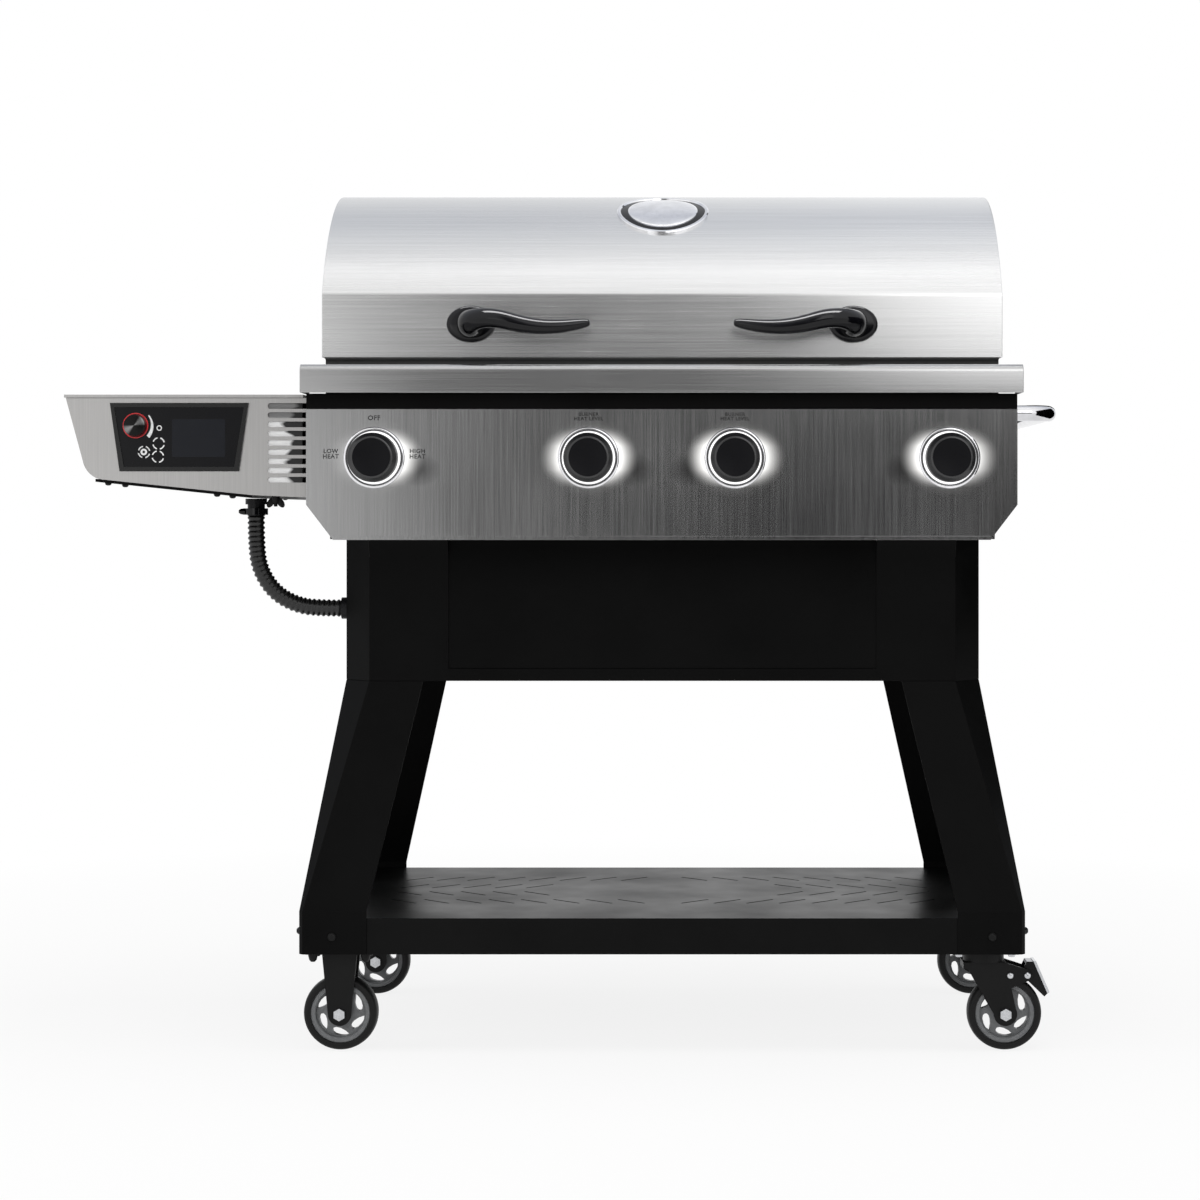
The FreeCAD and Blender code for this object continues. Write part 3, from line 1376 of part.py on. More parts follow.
def hopper_bin():
    """The pellet bin: sloping walls from the rim of the side box to the auger feed."""
    gauge = dim.gauge
    slope = (box_left - box_left_low) / (deck.box_top - deck.box_left_height)
    left = -box_left + gauge + 2 * dim.fit + slope * dim.bin_drop
    right = -box_right - gauge - dim.fit
    back = dim.box_back - gauge - dim.fit
    feed_left = -auger_inlet + dim.auger_wall * 4
    feed_right = feed_left + dim.auger_feed
    half = dim.bin_outlet_depth / 2

    def bin_wedge(label, inset):
        wedge = doc.addObject("Part::Wedge", label)
        wedge.Placement = FreeCAD.Placement(Vector(), FreeCAD.Rotation(Vector(1, 0, 0), 90))
        sizes = {
            "Xmin": feed_left + inset, "Xmax": feed_right - inset,
            "Ymin": bin_outlet_z, "Ymax": deck.box_top - dim.bin_drop,
            "Zmin": -half + inset, "Zmax": half - inset,
            "X2min": left + inset, "X2max": right - inset,
            "Z2min": -back + inset, "Z2max": dim.bin_front - inset,
        }
        for name, size in sizes.items():
            bind(wedge, name, size)
        return wedge

    shell = doc.addObject("Part::Cut", "hopper_bin")
    shell.Label = "hopper_bin"
    shell.Base = bin_wedge("bin_outside", 0 * gauge)
    shell.Tool = bin_wedge("bin_inside", gauge)
    bind(shell, "Placement.Base.x", origin_x)
    bind(shell, "Placement.Base.y", origin_y)
    subparts.append(shell)


def hopper_lid():
    """A flat hemmed lid with a long knuckle on its rear edge."""
    body = new_body("hopper_lid")
    base = deck.box_top + dim.fit
    over = dim.hopper_lid_overhang
    plate = rectangle(-box_left - over, -dim.box_front - over, -hopper_lid_right, dim.box_back)
    prism(body, "XY", [plate], base, dim.hopper_lid_thickness)
    start = hopper_middle - dim.hopper_hinge_length / 2
    strap_back = hopper_hinge_y + dim.hopper_hinge_barrel / 2
    strap = [
        (dim.box_back - dim.gauge, base),
        (hopper_hinge_y, base),
        (hopper_hinge_y, hopper_hinge_z),
        (strap_back, hopper_hinge_z),
        (strap_back, base + dim.hopper_lid_thickness),
        (dim.box_back - dim.gauge, base + dim.hopper_lid_thickness),
    ]
    prism(body, "YZ", [strap], start, dim.hopper_hinge_length)
    barrel = (hopper_hinge_y, hopper_hinge_z, dim.hopper_hinge_barrel / 2)
    prism(body, "YZ", [barrel], start, dim.hopper_hinge_length)
    bore = (hopper_hinge_y, hopper_hinge_z, dim.hopper_hinge_pin / 2 + dim.running_fit)
    cut(body, "YZ", [bore], start, dim.hopper_hinge_length)


def controller_bezel():
    body = new_body("controller_bezel")
    front = -dim.box_front - dim.controller_proud
    back = -dim.box_front + dim.gauge
    prism(body, "XZ", [controller_outline(0 * dim.gauge)], front, dim.controller_proud)
    prism(body, "XZ", [controller_outline(dim.controller_rim + dim.fit)], -dim.box_front, dim.gauge)
    recess = dim.controller_proud - dim.gauge / 2
    cut(body, "XZ", [controller_outline(dim.controller_rim)], front, recess)
    shaft = (dial_x, deck.dial_height, dim.dial_shaft / 2 + dim.running_fit)
    button = (button_x, deck.button_height, dim.button_diameter / 2 + dim.fit)
    cut(body, "XZ", [shaft, button], front, back - front)


def controller_glass():
    body = new_body("controller_glass")
    seat = -dim.box_front - dim.gauge / 2
    outline = controller_outline(dim.controller_rim + dim.fit)
    shaft = (dial_x, deck.dial_height, dim.dial_shaft / 2 + dim.fit)
    button = (button_x, deck.button_height, dim.button_diameter / 2 + dim.fit)
    prism(body, "XZ", [outline, shaft, button], seat - dim.glass_thickness, dim.glass_thickness)


def controller_dial():
    body = new_body("controller_dial")
    back = glass_face - dim.fit * 2
    radius = dim.dial_diameter / 2
    shaft = dim.dial_shaft / 2
    profile = [
        (0, back - dim.dial_depth),
        (radius - 1, back - dim.dial_depth),
        (radius, back - dim.dial_depth + 1),
        (radius, back),
        (shaft, back),
        (shaft, -dim.box_front + 4 * dim.gauge),
        (0, -dim.box_front + 4 * dim.gauge),
    ]
    turned(body, "Y", profile, dial_x, deck.dial_height)


def power_button():
    body = new_body("power_button")
    radius = dim.button_diameter / 2
    flange = dim.button_flange / 2
    flange_front = -dim.box_front + dim.gauge + dim.fit
    profile = [
        (0, glass_face - dim.button_proud),
        (radius, glass_face - dim.button_proud),
        (radius, flange_front),
        (flange, flange_front),
        (flange, flange_front + dim.gauge),
        (0, flange_front + dim.gauge),
    ]
    turned(body, "Y", profile, button_x, deck.button_height)


# Conduit and bar handle

# Points of the conduit's middle line, with heights above the cabinet
CONDUIT_ROUTE = [
    (-566.5, -166, 32),
    (-566.5, -166, -5),
    (-562, -166, -42),
    (-541, -166, -75),
    (-508, -166, -93),
    (-476, -166, -96.5),
    (-447, -166, -96.5),
]


def conduit_point(number):
    across, along, rise = CONDUIT_ROUTE[number]
    return Vector(across, along, value_of(cabinet_top) + rise)


def conduit():
    """A flexible conduit whose bends are as large as its runs allow."""
    points = [conduit_point(number) for number in range(len(CONDUIT_ROUTE))]
    bends = []
    length = 0
    for before, corner, after in zip(points, points[1:], points[2:]):
        turn = (corner - before).getAngle(after - corner)
        reach = 0.45 * min((corner - before).Length, (after - corner).Length)
        bends.append(reach / math.tan(turn / 2))
        length += bends[-1] * turn - 2 * reach
    length += sum((after - before).Length for before, after in zip(points, points[1:]))
    radius = value_of(dim.conduit_diameter) / 2
    tube = swept(points, radius, bends)
    expected = math.pi * radius ** 2 * length
    print(f"conduit length {length:.1f}, tightest bend {min(bends):.1f}, "
          f"volume {tube.Volume:.0f}, section times length {expected:.0f}")
    subparts.append(shaped("conduit", tube))


def conduit_fitting(label, point, direction, length):
    """A nut and collar between the end of the conduit and the wall that it enters."""
    collar = Part.makeCylinder(value_of(dim.conduit_diameter) / 2, length, point, direction)
    nut_height = value_of(dim.gland_nut)
    nut_base = point + direction * (length - nut_height)
    nut = Part.makeCylinder(value_of(dim.gland_diameter) / 2, nut_height, nut_base, direction)
    return shaped(label, collar.fuse(nut).removeSplitter())


def conduit_fittings():
    top = conduit_point(0)
    underside = value_of(deck.box_step_height - dim.floor_plate)
    gland = conduit_fitting("conduit_gland", top, Vector(0, 0, 1), underside - top.z)
    low = conduit_point(-1)
    cabinet_side = -value_of(dim.cabinet_width) / 2
    ferrule = conduit_fitting("conduit_ferrule", low, Vector(1, 0, 0), cabinet_side - low.x)
    group("conduit_fittings", [gland, ferrule])


def side_handle():
    """A bent bar on two round feet on the right end of the firebox."""
    radius = value_of(dim.bar_diameter) / 2
    bend = value_of(dim.bar_bend)
    height = value_of(deck.bar_height)
    near_x = value_of(firebox_end)
    far_x = near_x + value_of(dim.bar_reach)
    front = -value_of(dim.bar_front)
    back = value_of(dim.bar_back)
    corners = [
        Vector(near_x, front, height),
        Vector(far_x, front, height),
        Vector(far_x, back, height),
        Vector(near_x, back, height),
    ]
    bar = swept(corners, radius, [bend, bend])
    rose = value_of(dim.bar_rose) / 2
    depth = value_of(dim.bar_rose_depth)
    feet = [Part.makeCylinder(rose, depth, corner, Vector(1, 0, 0)) for corner in (corners[0], corners[-1])]
    subparts.append(shaped("side_handle", bar.fuse(feet).removeSplitter()))


end_sign = {"front": -1, "rear": 1}
knob_places = [-dim.knob_outer, -dim.knob_inner, dim.knob_inner, dim.knob_outer]
burner_places = knob_places[1:]
burner_front = control_wall - dim.valve_depth
igniter_z = cabinet_top + dim.gauge + dim.igniter_height
hopper_hinge_y = dim.box_back + dim.hopper_hinge_back
hopper_hinge_z = deck.box_top - dim.hopper_hinge_barrel / 2
hopper_middle = -(box_left + box_right) / 2
dial_x = -controller_x - dim.dial_left
button_x = -controller_x - dim.button_left
glass_face = -dim.box_front - dim.gauge / 2 - dim.glass_thickness

bottom_shelf()
for end, sign in end_sign.items():
    leg(f"leg_{end}_left", -1, sign)
    leg(f"leg_{end}_right", 1, sign)
base_cabinet()

rigid_x = -dim.caster_spread / 2
swivel_x = dim.caster_spread / 2 + dim.swivel_trail
half_base = dim.caster_wheelbase / 2
group("rigid_forks", [rigid_fork(end) for end in end_sign])
group("rigid_axles", [axle_bolt(f"rigid_axle_{end}", rigid_x, sign * half_base, False)
                      for end, sign in end_sign.items()])
group("swivel_plates", [swivel_plate(end) for end in end_sign])
for end, sign in end_sign.items():
    swivel_fork(end)
    axle_bolt(f"swivel_axle_{end}", swivel_x, sign * half_base, True)
    brake_pedal(end)
    for side, across in (("left", rigid_x), ("right", swivel_x)):
        tyre(f"tyre_{end}_{side}", across, sign * half_base)
        wheel_hub(f"wheel_hub_{end}_{side}", across, sign * half_base)

firebox()
group("cooking_grates", [cooking_grate(number) for number in range(1, int(value_of(dim.grate_count)) + 1)])
heat_deflector()
fire_pot()
igniter_rod()
auger_tube()
auger_motor()
auger_screw()
fan_housing()
fan_rotor()
group("gas_burners", [gas_burner(number, across) for number, across in enumerate(burner_places, start=1)])
tall = deck.burner_height + dim.burner_diameter / 2 + dim.gauge - deck.knob_height
group("burner_valves", [valve_body(f"burner_valve_{number}", across, tall)
                        for number, across in enumerate(burner_places, start=1)])
valve_body("mode_switch", -dim.knob_outer, dim.valve_width / 2, listed=True)
gas_manifold()

control_box()
control_panel()
front_ledge()
knob_labels = ["mode_knob", "burner_knob_left", "burner_knob_centre", "burner_knob_right"]
for label, across in zip(knob_labels, knob_places):
    knob(label, across)
group("knob_bezels", [knob_bezel(number, across) for number, across in enumerate(knob_places, start=1)])

lid_shell()
group("lid_handles", [lid_handle("lid_handle_left", -1), lid_handle("lid_handle_right", 1)])
hinge_places = {"left": -dim.hinge_spread / 2, "right": dim.hinge_spread / 2}
group("lid_hinge_leaves", [hinge_leaf(f"hinge_leaf_{side}", across) for side, across in hinge_places.items()])
group("lid_hinge_brackets", [hinge_bracket(f"hinge_bracket_{side}", across)
                             for side, across in hinge_places.items()])

side_box()
side_box_floor()
hopper_bin()
hopper_lid()
controller_bezel()
controller_glass()
controller_dial()
power_button()
conduit_fittings()
conduit()
side_handle()

doc.recompute()
faults = []
for thing in doc.Objects:
    if "Invalid" in thing.State or "Error" in thing.State:
        faults.append(f"{thing.Label}: {thing.State}")
for piece in subparts:
    if piece.Shape.isNull() or not piece.Shape.isValid():
        faults.append(f"{piece.Label}: shape is not valid")
if faults:
    raise SystemExit("\n".join(faults))

os.makedirs("parts", exist_ok=True)
for piece in subparts:
    piece.Shape.exportStep(f"parts/{piece.Label}.step")
print(f"{len(subparts)} parts, moved by {value_of(origin_x):.3f}, {value_of(origin_y):.3f}")
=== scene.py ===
import math

import bmesh
import bpy
from mathutils import Matrix, Vector


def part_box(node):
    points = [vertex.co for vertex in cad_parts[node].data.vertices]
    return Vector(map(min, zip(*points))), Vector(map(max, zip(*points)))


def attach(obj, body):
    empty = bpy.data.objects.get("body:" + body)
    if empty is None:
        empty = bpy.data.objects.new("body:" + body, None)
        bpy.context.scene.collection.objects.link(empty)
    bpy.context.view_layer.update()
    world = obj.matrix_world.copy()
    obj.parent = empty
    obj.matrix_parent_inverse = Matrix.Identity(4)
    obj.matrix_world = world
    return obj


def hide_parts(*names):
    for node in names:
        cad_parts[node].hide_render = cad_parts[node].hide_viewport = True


# A stainless two-fuel grill on a black wheeled cart, on a white studio floor.
# Sizes are in millimetres from the middle of the lid and up from the floor; MM turns them into metres.

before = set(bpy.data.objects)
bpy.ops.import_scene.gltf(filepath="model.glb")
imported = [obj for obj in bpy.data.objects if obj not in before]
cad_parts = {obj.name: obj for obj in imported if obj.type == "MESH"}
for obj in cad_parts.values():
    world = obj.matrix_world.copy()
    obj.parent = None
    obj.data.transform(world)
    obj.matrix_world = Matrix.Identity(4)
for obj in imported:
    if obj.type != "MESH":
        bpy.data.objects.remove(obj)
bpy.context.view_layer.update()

MM = 0.001
FRONT = Vector((0, -1, 0))
BACK = Vector((0, 1, 0))
RIGHT = Vector((1, 0, 0))
LEFT = Vector((-1, 0, 0))
UP = Vector((0, 0, 1))
DOWN = Vector((0, 0, -1))
UPRIGHT = Matrix.Rotation(math.radians(90), 4, "X")
CORNERS = ("front_left", "front_right", "rear_left", "rear_right")


def middle_of(node):
    low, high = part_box(node)
    return (low + high) / 2


def front_of(node):
    """The middle of the front of a node's box."""
    front = middle_of(node)
    front.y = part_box(node)[0].y
    return front


lid_middle = middle_of("lid_shell")


def place(across, along, up):
    """A point of the grill in the frame's metres."""
    return Vector((lid_middle.x + across * MM, lid_middle.y + along * MM, up * MM))


def both(size):
    """A size to either side of the middle."""
    return (-size, size)


def add_object(name, data):
    thing = bpy.data.objects.new(name, data)
    bpy.context.scene.collection.objects.link(thing)
    return thing


# Node trees

class Nodes:
    """A node tree in the making."""

    def __init__(self, owner):
        owner.use_nodes = True
        self.tree = owner.node_tree

    def add(self, kind, inputs=None, **settings):
        node = self.tree.nodes.new(kind)
        for name, value in settings.items():
            setattr(node, name, value)
        for socket, value in (inputs or {}).items():
            if isinstance(value, bpy.types.NodeSocket):
                self.tree.links.new(value, node.inputs[socket])
            else:
                node.inputs[socket].default_value = value
        return node

    def spot(self, scale=(1, 1, 1), centre=(0, 0, 0)):
        """Object coordinates from a centre, stretched."""
        coordinates = self.add("ShaderNodeTexCoord").outputs["Object"]
        for operation, value in (("SUBTRACT", centre), ("MULTIPLY", scale)):
            moved = self.add("ShaderNodeVectorMath", {0: coordinates, 1: value}, operation=operation)
            coordinates = moved.outputs["Vector"]
        return coordinates

    def reach(self, scale=(1, 1, 1), centre=(0, 0, 0)):
        """Distance from a centre, in stretched Object coordinates."""
        spot = self.spot(scale, centre)
        return self.add("ShaderNodeVectorMath", {0: spot}, operation="LENGTH").outputs["Value"]

    def parts(self, vector):
        """The X, Y and Z of a vector."""
        return self.add("ShaderNodeSeparateXYZ", {"Vector": vector}).outputs

    def noise(self, scale, detail=3.0, roughness=0.6):
        """Noise in Object coordinates stretched by a number, or by a number for each axis."""
        scales = scale if isinstance(scale, tuple) else (scale, scale, scale)
        sockets = {"Vector": self.spot(scales), "Scale": 1.0, "Detail": detail, "Roughness": roughness}
        return self.add("ShaderNodeTexNoise", sockets).outputs["Fac"]

    def spread(self, source, low, high, start=0.3, end=0.7):
        """A value that runs from low to high as its source runs from start to end."""
        sockets = {"Value": source, "From Min": start, "From Max": end, "To Min": low, "To Max": high}
        return self.add("ShaderNodeMapRange", sockets).outputs["Result"]

    def maths(self, operation, first, second=0.0):
        return self.add("ShaderNodeMath", {0: first, 1: second}, operation=operation).outputs["Value"]

    def colours(self, source, low, high, start=0.3, end=0.7):
        """A colour that runs from low to high as its source runs from start to end."""
        ramp = self.add("ShaderNodeValToRGB", {"Fac": source})
        for stop, position, colour in zip(ramp.color_ramp.elements, (start, end), (low, high)):
            stop.position = position
            stop.color = colour
        return ramp.outputs["Color"]

    def mix(self, share, first, second):
        return self.add("ShaderNodeMixShader", {"Fac": share, 1: first, 2: second}).outputs["Shader"]


class Finish(Nodes):
    """A material in the making: the sockets of its shader and the nodes that feed them."""

    def __init__(self, name, sockets):
        self.material = bpy.data.materials.new(name)
        super().__init__(self.material)
        self.shader = self.tree.nodes["Principled BSDF"]
        for socket, value in sockets.items():
            self.shader.inputs[socket].default_value = value

    def feed(self, socket, source):
        self.tree.links.new(source, self.shader.inputs[socket])

    def bump(self, source, strength, height):
        sockets = {"Height": source, "Strength": strength, "Distance": height * MM}
        self.feed("Normal", self.add("ShaderNodeBump", sockets).outputs["Normal"])


def grey(value, warm=0.0):
    return (value * (1 + warm), value, value * (1 - warm), 1)


def shades(colour, low, high):
    """A darker and a lighter tone of a colour."""
    return [[min(channel * share, 1) for channel in colour[:3]] + [1] for share in (low, high)]


# Camera and studio

CAMERA_PLACE = (31, -4002, 736)
CAMERA_LENS = 82.56
CAMERA_SENSOR = 36
CAMERA_SHIFT = (-0.0708, -0.0725)

# Lamps: place and aim, width and height, and power in watts
SOFTBOXES = {
    "overhead_softbox": ((0, -500, 3300), (0, 0, 900), (3200, 2200), 62),
    "front_softbox": ((-900, -4300, 2500), (0, 0, 700), (2200, 1600), 48),
    "left_softbox": ((-3200, -900, 1500), (0, 0, 700), (1400, 1800), 26),
    "right_softbox": ((3200, -700, 1500), (0, 0, 700), (1400, 1800), 20),
}
STRIP_LAMP = ((0, -700, 3000), (0, -300, 1000), (2200, 80), 1.1)
HANDLE_LAMP = ((0, -520, 2200), (0, -330, 990), (1600, 480), 46)


def make_camera():
    camera = bpy.data.cameras.new("camera")
    camera.lens = CAMERA_LENS
    camera.sensor_width = CAMERA_SENSOR
    camera.shift_x, camera.shift_y = CAMERA_SHIFT
    holder = add_object("camera", camera)
    holder.location = place(*CAMERA_PLACE)
    holder.rotation_euler = (math.radians(90), 0, 0)
    bpy.context.scene.camera = holder


def area_lamp(name, where, aim, size, power, mirrored=False):
    lamp = bpy.data.lights.new(name, "AREA")
    lamp.shape = "RECTANGLE"
    lamp.size = size[0] * MM
    lamp.size_y = size[1] * MM
    lamp.energy = power
    holder = add_object(name, lamp)
    holder.location = place(*where)
    holder.rotation_euler = (place(*aim) - place(*where)).to_track_quat("-Z", "Y").to_euler()
    holder.visible_glossy = mirrored
    return holder


def make_lamps():
    for name, settings in SOFTBOXES.items():
        area_lamp(name, *settings)
    area_lamp("strip_lamp", *STRIP_LAMP, mirrored=True)


AMBIENT = 0.32
# Red, green and blue of the studio from front to back, as polished metal mirrors it
CEILING = {
    0: (1, 1, 1),
    0.17: (1, 1, 1),
    0.32: (0.9, 0.9, 0.9),
    0.44: (0.81, 0.81, 0.82),
    0.585: (0.74, 0.76, 0.79),
    0.75: (0.55, 0.57, 0.62),
    0.94: (0.84, 0.85, 0.86),
    1: (0.9, 0.9, 0.9),
}
# Its strength on the left and on the right, and between which directions it changes
CEILING_STRENGTH = (1.12, 1.3)
CEILING_TURN = (-0.05, 0.14)


def make_world():
    """White behind the grill, a bright ceiling for what mirrors it, and a soft grey light for the rest."""
    world = bpy.data.worlds.new("studio")
    bpy.context.scene.world = world
    nodes = Nodes(world)
    nodes.tree.nodes.clear()
    direction = nodes.parts(nodes.add("ShaderNodeTexCoord").outputs["Generated"])
    tones = nodes.add("ShaderNodeValToRGB", {"Fac": nodes.spread(direction["Y"], 0, 1, -1, 1)})
    stops = tones.color_ramp.elements
    for position in [*CEILING][1:-1]:
        stops.new(position)
    for stop, tone in zip(stops, CEILING.values()):
        stop.color = (*tone, 1)
    strength = nodes.spread(direction["X"], *CEILING_STRENGTH, *CEILING_TURN)
    ambient, white, ceiling = [
        nodes.add("ShaderNodeBackground", {"Color": colour, "Strength": level}).outputs["Background"]
        for colour, level in ((grey(1), AMBIENT), (grey(1), 1), (tones.outputs["Color"], strength))
    ]
    rays = nodes.add("ShaderNodeLightPath").outputs
    shader = nodes.mix(rays["Is Glossy Ray"], ambient, ceiling)
    shader = nodes.mix(rays["Is Transmission Ray"], shader, white)
    shader = nodes.mix(rays["Is Camera Ray"], shader, white)
    nodes.add("ShaderNodeOutputWorld", {"Surface": shader})


def stage_card(name, material, middle, size):
    """A flat card of the studio, in metres, with a size of 0 along the axis that it faces."""
    turns = (Matrix.Rotation(math.radians(90), 4, "Y"), UPRIGHT, Matrix.Identity(4))
    mesh = bpy.data.meshes.new(name)
    bm = bmesh.new()
    bmesh.ops.create_grid(bm, x_segments=1, y_segments=1, size=0.5, matrix=turns[size.index(0)])
    bmesh.ops.scale(bm, vec=size, verts=bm.verts)
    bmesh.ops.translate(bm, vec=middle, verts=bm.verts)
    bm.to_mesh(mesh)
    bm.free()
    mesh.materials.append(material)
    card = add_object(name, mesh)
    return card


FLOOR_SIZE = (28, 28, 0)
FLOOR_TONE = 0.86
# The floor's own white near the grill and far from it, and between which distances it changes
FLOOR_GLOW = (0.86, 1)
FLOOR_FADE = (0.8, 2.2)


def make_floor():
    """Paper that looks white to the camera, to metal and to glass, and keeps the grill's shadow."""
    paper = bpy.data.materials.new("white_paper")
    nodes = Nodes(paper)
    nodes.tree.nodes.clear()
    shaded = nodes.add("ShaderNodeBsdfDiffuse", {"Color": grey(FLOOR_TONE)}).outputs["BSDF"]
    glow = nodes.add("ShaderNodeEmission").outputs["Emission"]
    rays = nodes.add("ShaderNodeLightPath").outputs
    seen = nodes.maths("MAXIMUM", rays["Is Camera Ray"], rays["Is Glossy Ray"])
    seen = nodes.maths("MAXIMUM", seen, rays["Is Transmission Ray"])
    fade = nodes.spread(nodes.reach(), *FLOOR_GLOW, *FLOOR_FADE)
    surface = nodes.mix(nodes.maths("MULTIPLY", seen, fade), shaded, glow)
    nodes.add("ShaderNodeOutputMaterial", {"Surface": surface})
    stage_card("studio_floor", paper, Vector(), FLOOR_SIZE)


UNLIT_BLACK = {"Base Color": (0, 0, 0, 1), "Roughness": 1, "Specular IOR Level": 0}
# Cards that only polished surfaces see: middle in millimetres, and size along X, Y and Z in metres
DARK_WALL = ((-400, -7000, 3200), (7.6, 0, 6.4))
FLAGS = {
    "right": ((1000, -250, 850), (0, 1.1, 0.8)),
    "behind": ((780, 600, 1650), (0.3, 0, 1.3)),
}


def mirrored_card(name, finish, middle, size):
    card = stage_card(name, finish.material, place(*middle), size)
    card.visible_camera = False
    card.visible_diffuse = False
    card.visible_shadow = False


def make_dark_wall():
    """The far end of the studio, dark between two lit sides."""
    paint = Finish("studio_dark_paint", UNLIT_BLACK | {"Emission Color": grey(1)})
    spot = paint.parts(paint.spot(centre=place(0, 0, 0)))
    near = paint.spread(spot["X"], 0.02, 0.9, -1.0, -1.4)
    far = paint.spread(spot["X"], 0, 0.5, -1.7, -2.3)
    fall = paint.spread(spot["Z"], 1.3, 0.6, 1.15, 1.45)
    left = paint.maths("MULTIPLY", paint.maths("ADD", near, far), fall)
    high = paint.spread(spot["Z"], 0, 1, 1.4, 1.6)
    right = paint.maths("MULTIPLY", paint.spread(spot["X"], 0.2, 2.3, 0.35, 1.15), high)
    paint.feed("Emission Strength", paint.maths("ADD", left, right))
    mirrored_card("studio_dark_wall", paint, *DARK_WALL)


def add_flags():
    """Black cards beside the bar handle."""
    black = Finish("studio_flag", UNLIT_BLACK)
    for name, (middle, size) in FLAGS.items():
        mirrored_card(f"studio_flag_{name}", black, middle, size)


# Finishes

# Grinding lines per metre along X, Y and Z
ALONG_X = (3, 760, 760)
ALONG_Z = (760, 760, 6)


def brushed_steel(name, tone, grain, blur_turn, roughness, warm=0.0, blur=0.7):
    """Sheet steel with grinding lines along one axis."""
    steel = Finish(name, {"Metallic": 1.0, "Anisotropic": blur, "Anisotropic Rotation": blur_turn})
    steel.feed("Tangent", steel.add("ShaderNodeCombineXYZ", {"X": 1.0}).outputs["Vector"])
    lines = steel.noise(grain, detail=5.0, roughness=0.75)
    cloud = steel.noise(4, detail=2.0)
    steel.feed("Base Color", steel.colours(lines, *shades(grey(tone, warm), 0.9, 1.08)))
    rubbed = steel.spread(cloud, roughness - 0.02, roughness + 0.02)
    steel.feed("Roughness", steel.maths("ADD", steel.spread(lines, -0.03, 0.03), rubbed))
    steel.bump(lines, 0.06, 0.04)
    return steel


def painted_black(name, tone, roughness, speckle, gloss=0.08):
    """Powder coat: a fine orange-peel skin with faint wear in its gloss."""
    coat = Finish(name, {"Specular IOR Level": gloss})
    peel = coat.noise(speckle, detail=2.0)
    cloud = coat.noise(7, detail=3.0)
    coat.feed("Base Color", coat.colours(cloud, *shades(grey(tone), 0.8, 1.25)))
    coat.feed("Roughness", coat.spread(cloud, roughness - 0.05, roughness + 0.07))
    coat.bump(peel, 0.15, 0.12)
    return coat


def moulded(name, colour, roughness, speckle, gloss=0.5):
    """Moulded plastic or rubber with a fine grain."""
    plastic = Finish(name, {"Specular IOR Level": gloss})
    grain = plastic.noise(speckle, detail=2.0)
    plastic.feed("Base Color", plastic.colours(grain, *shades(colour, 0.85, 1.15)))
    plastic.feed("Roughness", plastic.spread(grain, roughness - 0.04, roughness + 0.05))
    plastic.bump(grain, 0.1, 0.1)
    return plastic


def bare_metal(name, colour, roughness, speckle, bump=0.1):
    """Plated, cast or mill-finished metal with faint blotches."""
    metal = Finish(name, {"Metallic": 1.0})
    blotch = metal.noise(speckle, detail=4.0)
    metal.feed("Base Color", metal.colours(blotch, *shades(colour, 0.82, 1.1)))
    metal.feed("Roughness", metal.spread(blotch, roughness - 0.04, roughness + 0.06))
    metal.bump(blotch, bump, 0.08)
    return metal


PANEL_FACE = -320
KNOB_HEIGHT = 810
# Place across, and strength of the painted glow on the panel to the left and to the right
KNOBS = {
    "mode_knob": (-385, 0.1, 0.85),
    "burner_knob_left": (-98, 0.7, 1),
    "burner_knob_centre": (98, 1, 0.85),
    "burner_knob_right": (385, 1, 0.6),
}
GLOW_STRENGTH = 1.6
GLOW_FALLOFF = 2.2
# The middle of a knob's painted shadow, out to its side and down
SHADE_OUT = 60
SHADE_DROP = 16


def painted_knob_glow(steel, across, left, right):
    """Strength of the painted glow that stands for one ring lamp's light on the panel."""
    centre = place(across, PANEL_FACE, KNOB_HEIGHT)
    spot = steel.parts(steel.spot((1, 0, 1), centre))
    ring = steel.spread(steel.reach((0.82, 0, 1), centre), 1.0, 0.0, start=0.033, end=0.056)
    fade = steel.maths("POWER", ring, GLOW_FALLOFF)
    side = steel.spread(spot["X"], left, right, start=-0.03, end=0.03)
    level = steel.spread(steel.maths("ABSOLUTE", spot["Z"]), 1.0, 0.08, start=0.016, end=0.04)
    return steel.maths("MULTIPLY", steel.maths("MULTIPLY", fade, side), level)


def painted_knob_shadow(steel, across, side):
    """Share of colour left in the painted shadow that a knob throws past its glow."""
    centre = place(across + side * SHADE_OUT, PANEL_FACE, KNOB_HEIGHT - SHADE_DROP)
    return steel.spread(steel.reach((1, 0, 1.3), centre), 0.45, 1.0, start=0.004, end=0.03)


def add_painted_knob_light(steel):
    """The glow of the ring lamps behind the knobs is painted on the panel beside them as emission, and the
    knobs' shadow farther out is painted into its colour.
    """
    glow = 0.0
    shade = 1.0
    for across, left, right in KNOBS.values():
        glow = steel.maths("MAXIMUM", glow, painted_knob_glow(steel, across, left, right))
        shade = steel.maths("MULTIPLY", shade, painted_knob_shadow(steel, across, 1 if right >= left else -1))
    steel.feed("Emission Strength", steel.maths("MULTIPLY", glow, GLOW_STRENGTH))
    steel.shader.inputs["Emission Color"].default_value = (1, 0.99, 0.97, 1)
    toned = steel.shader.inputs["Base Color"].links[0].from_socket
    shaded = steel.add("ShaderNodeVectorMath", {0: toned, "Scale": shade}, operation="SCALE")
    steel.feed("Base Color", shaded.outputs["Vector"])


GLASS_FACE = -303
DIAL = (-707.5, GLASS_FACE, 853.5)


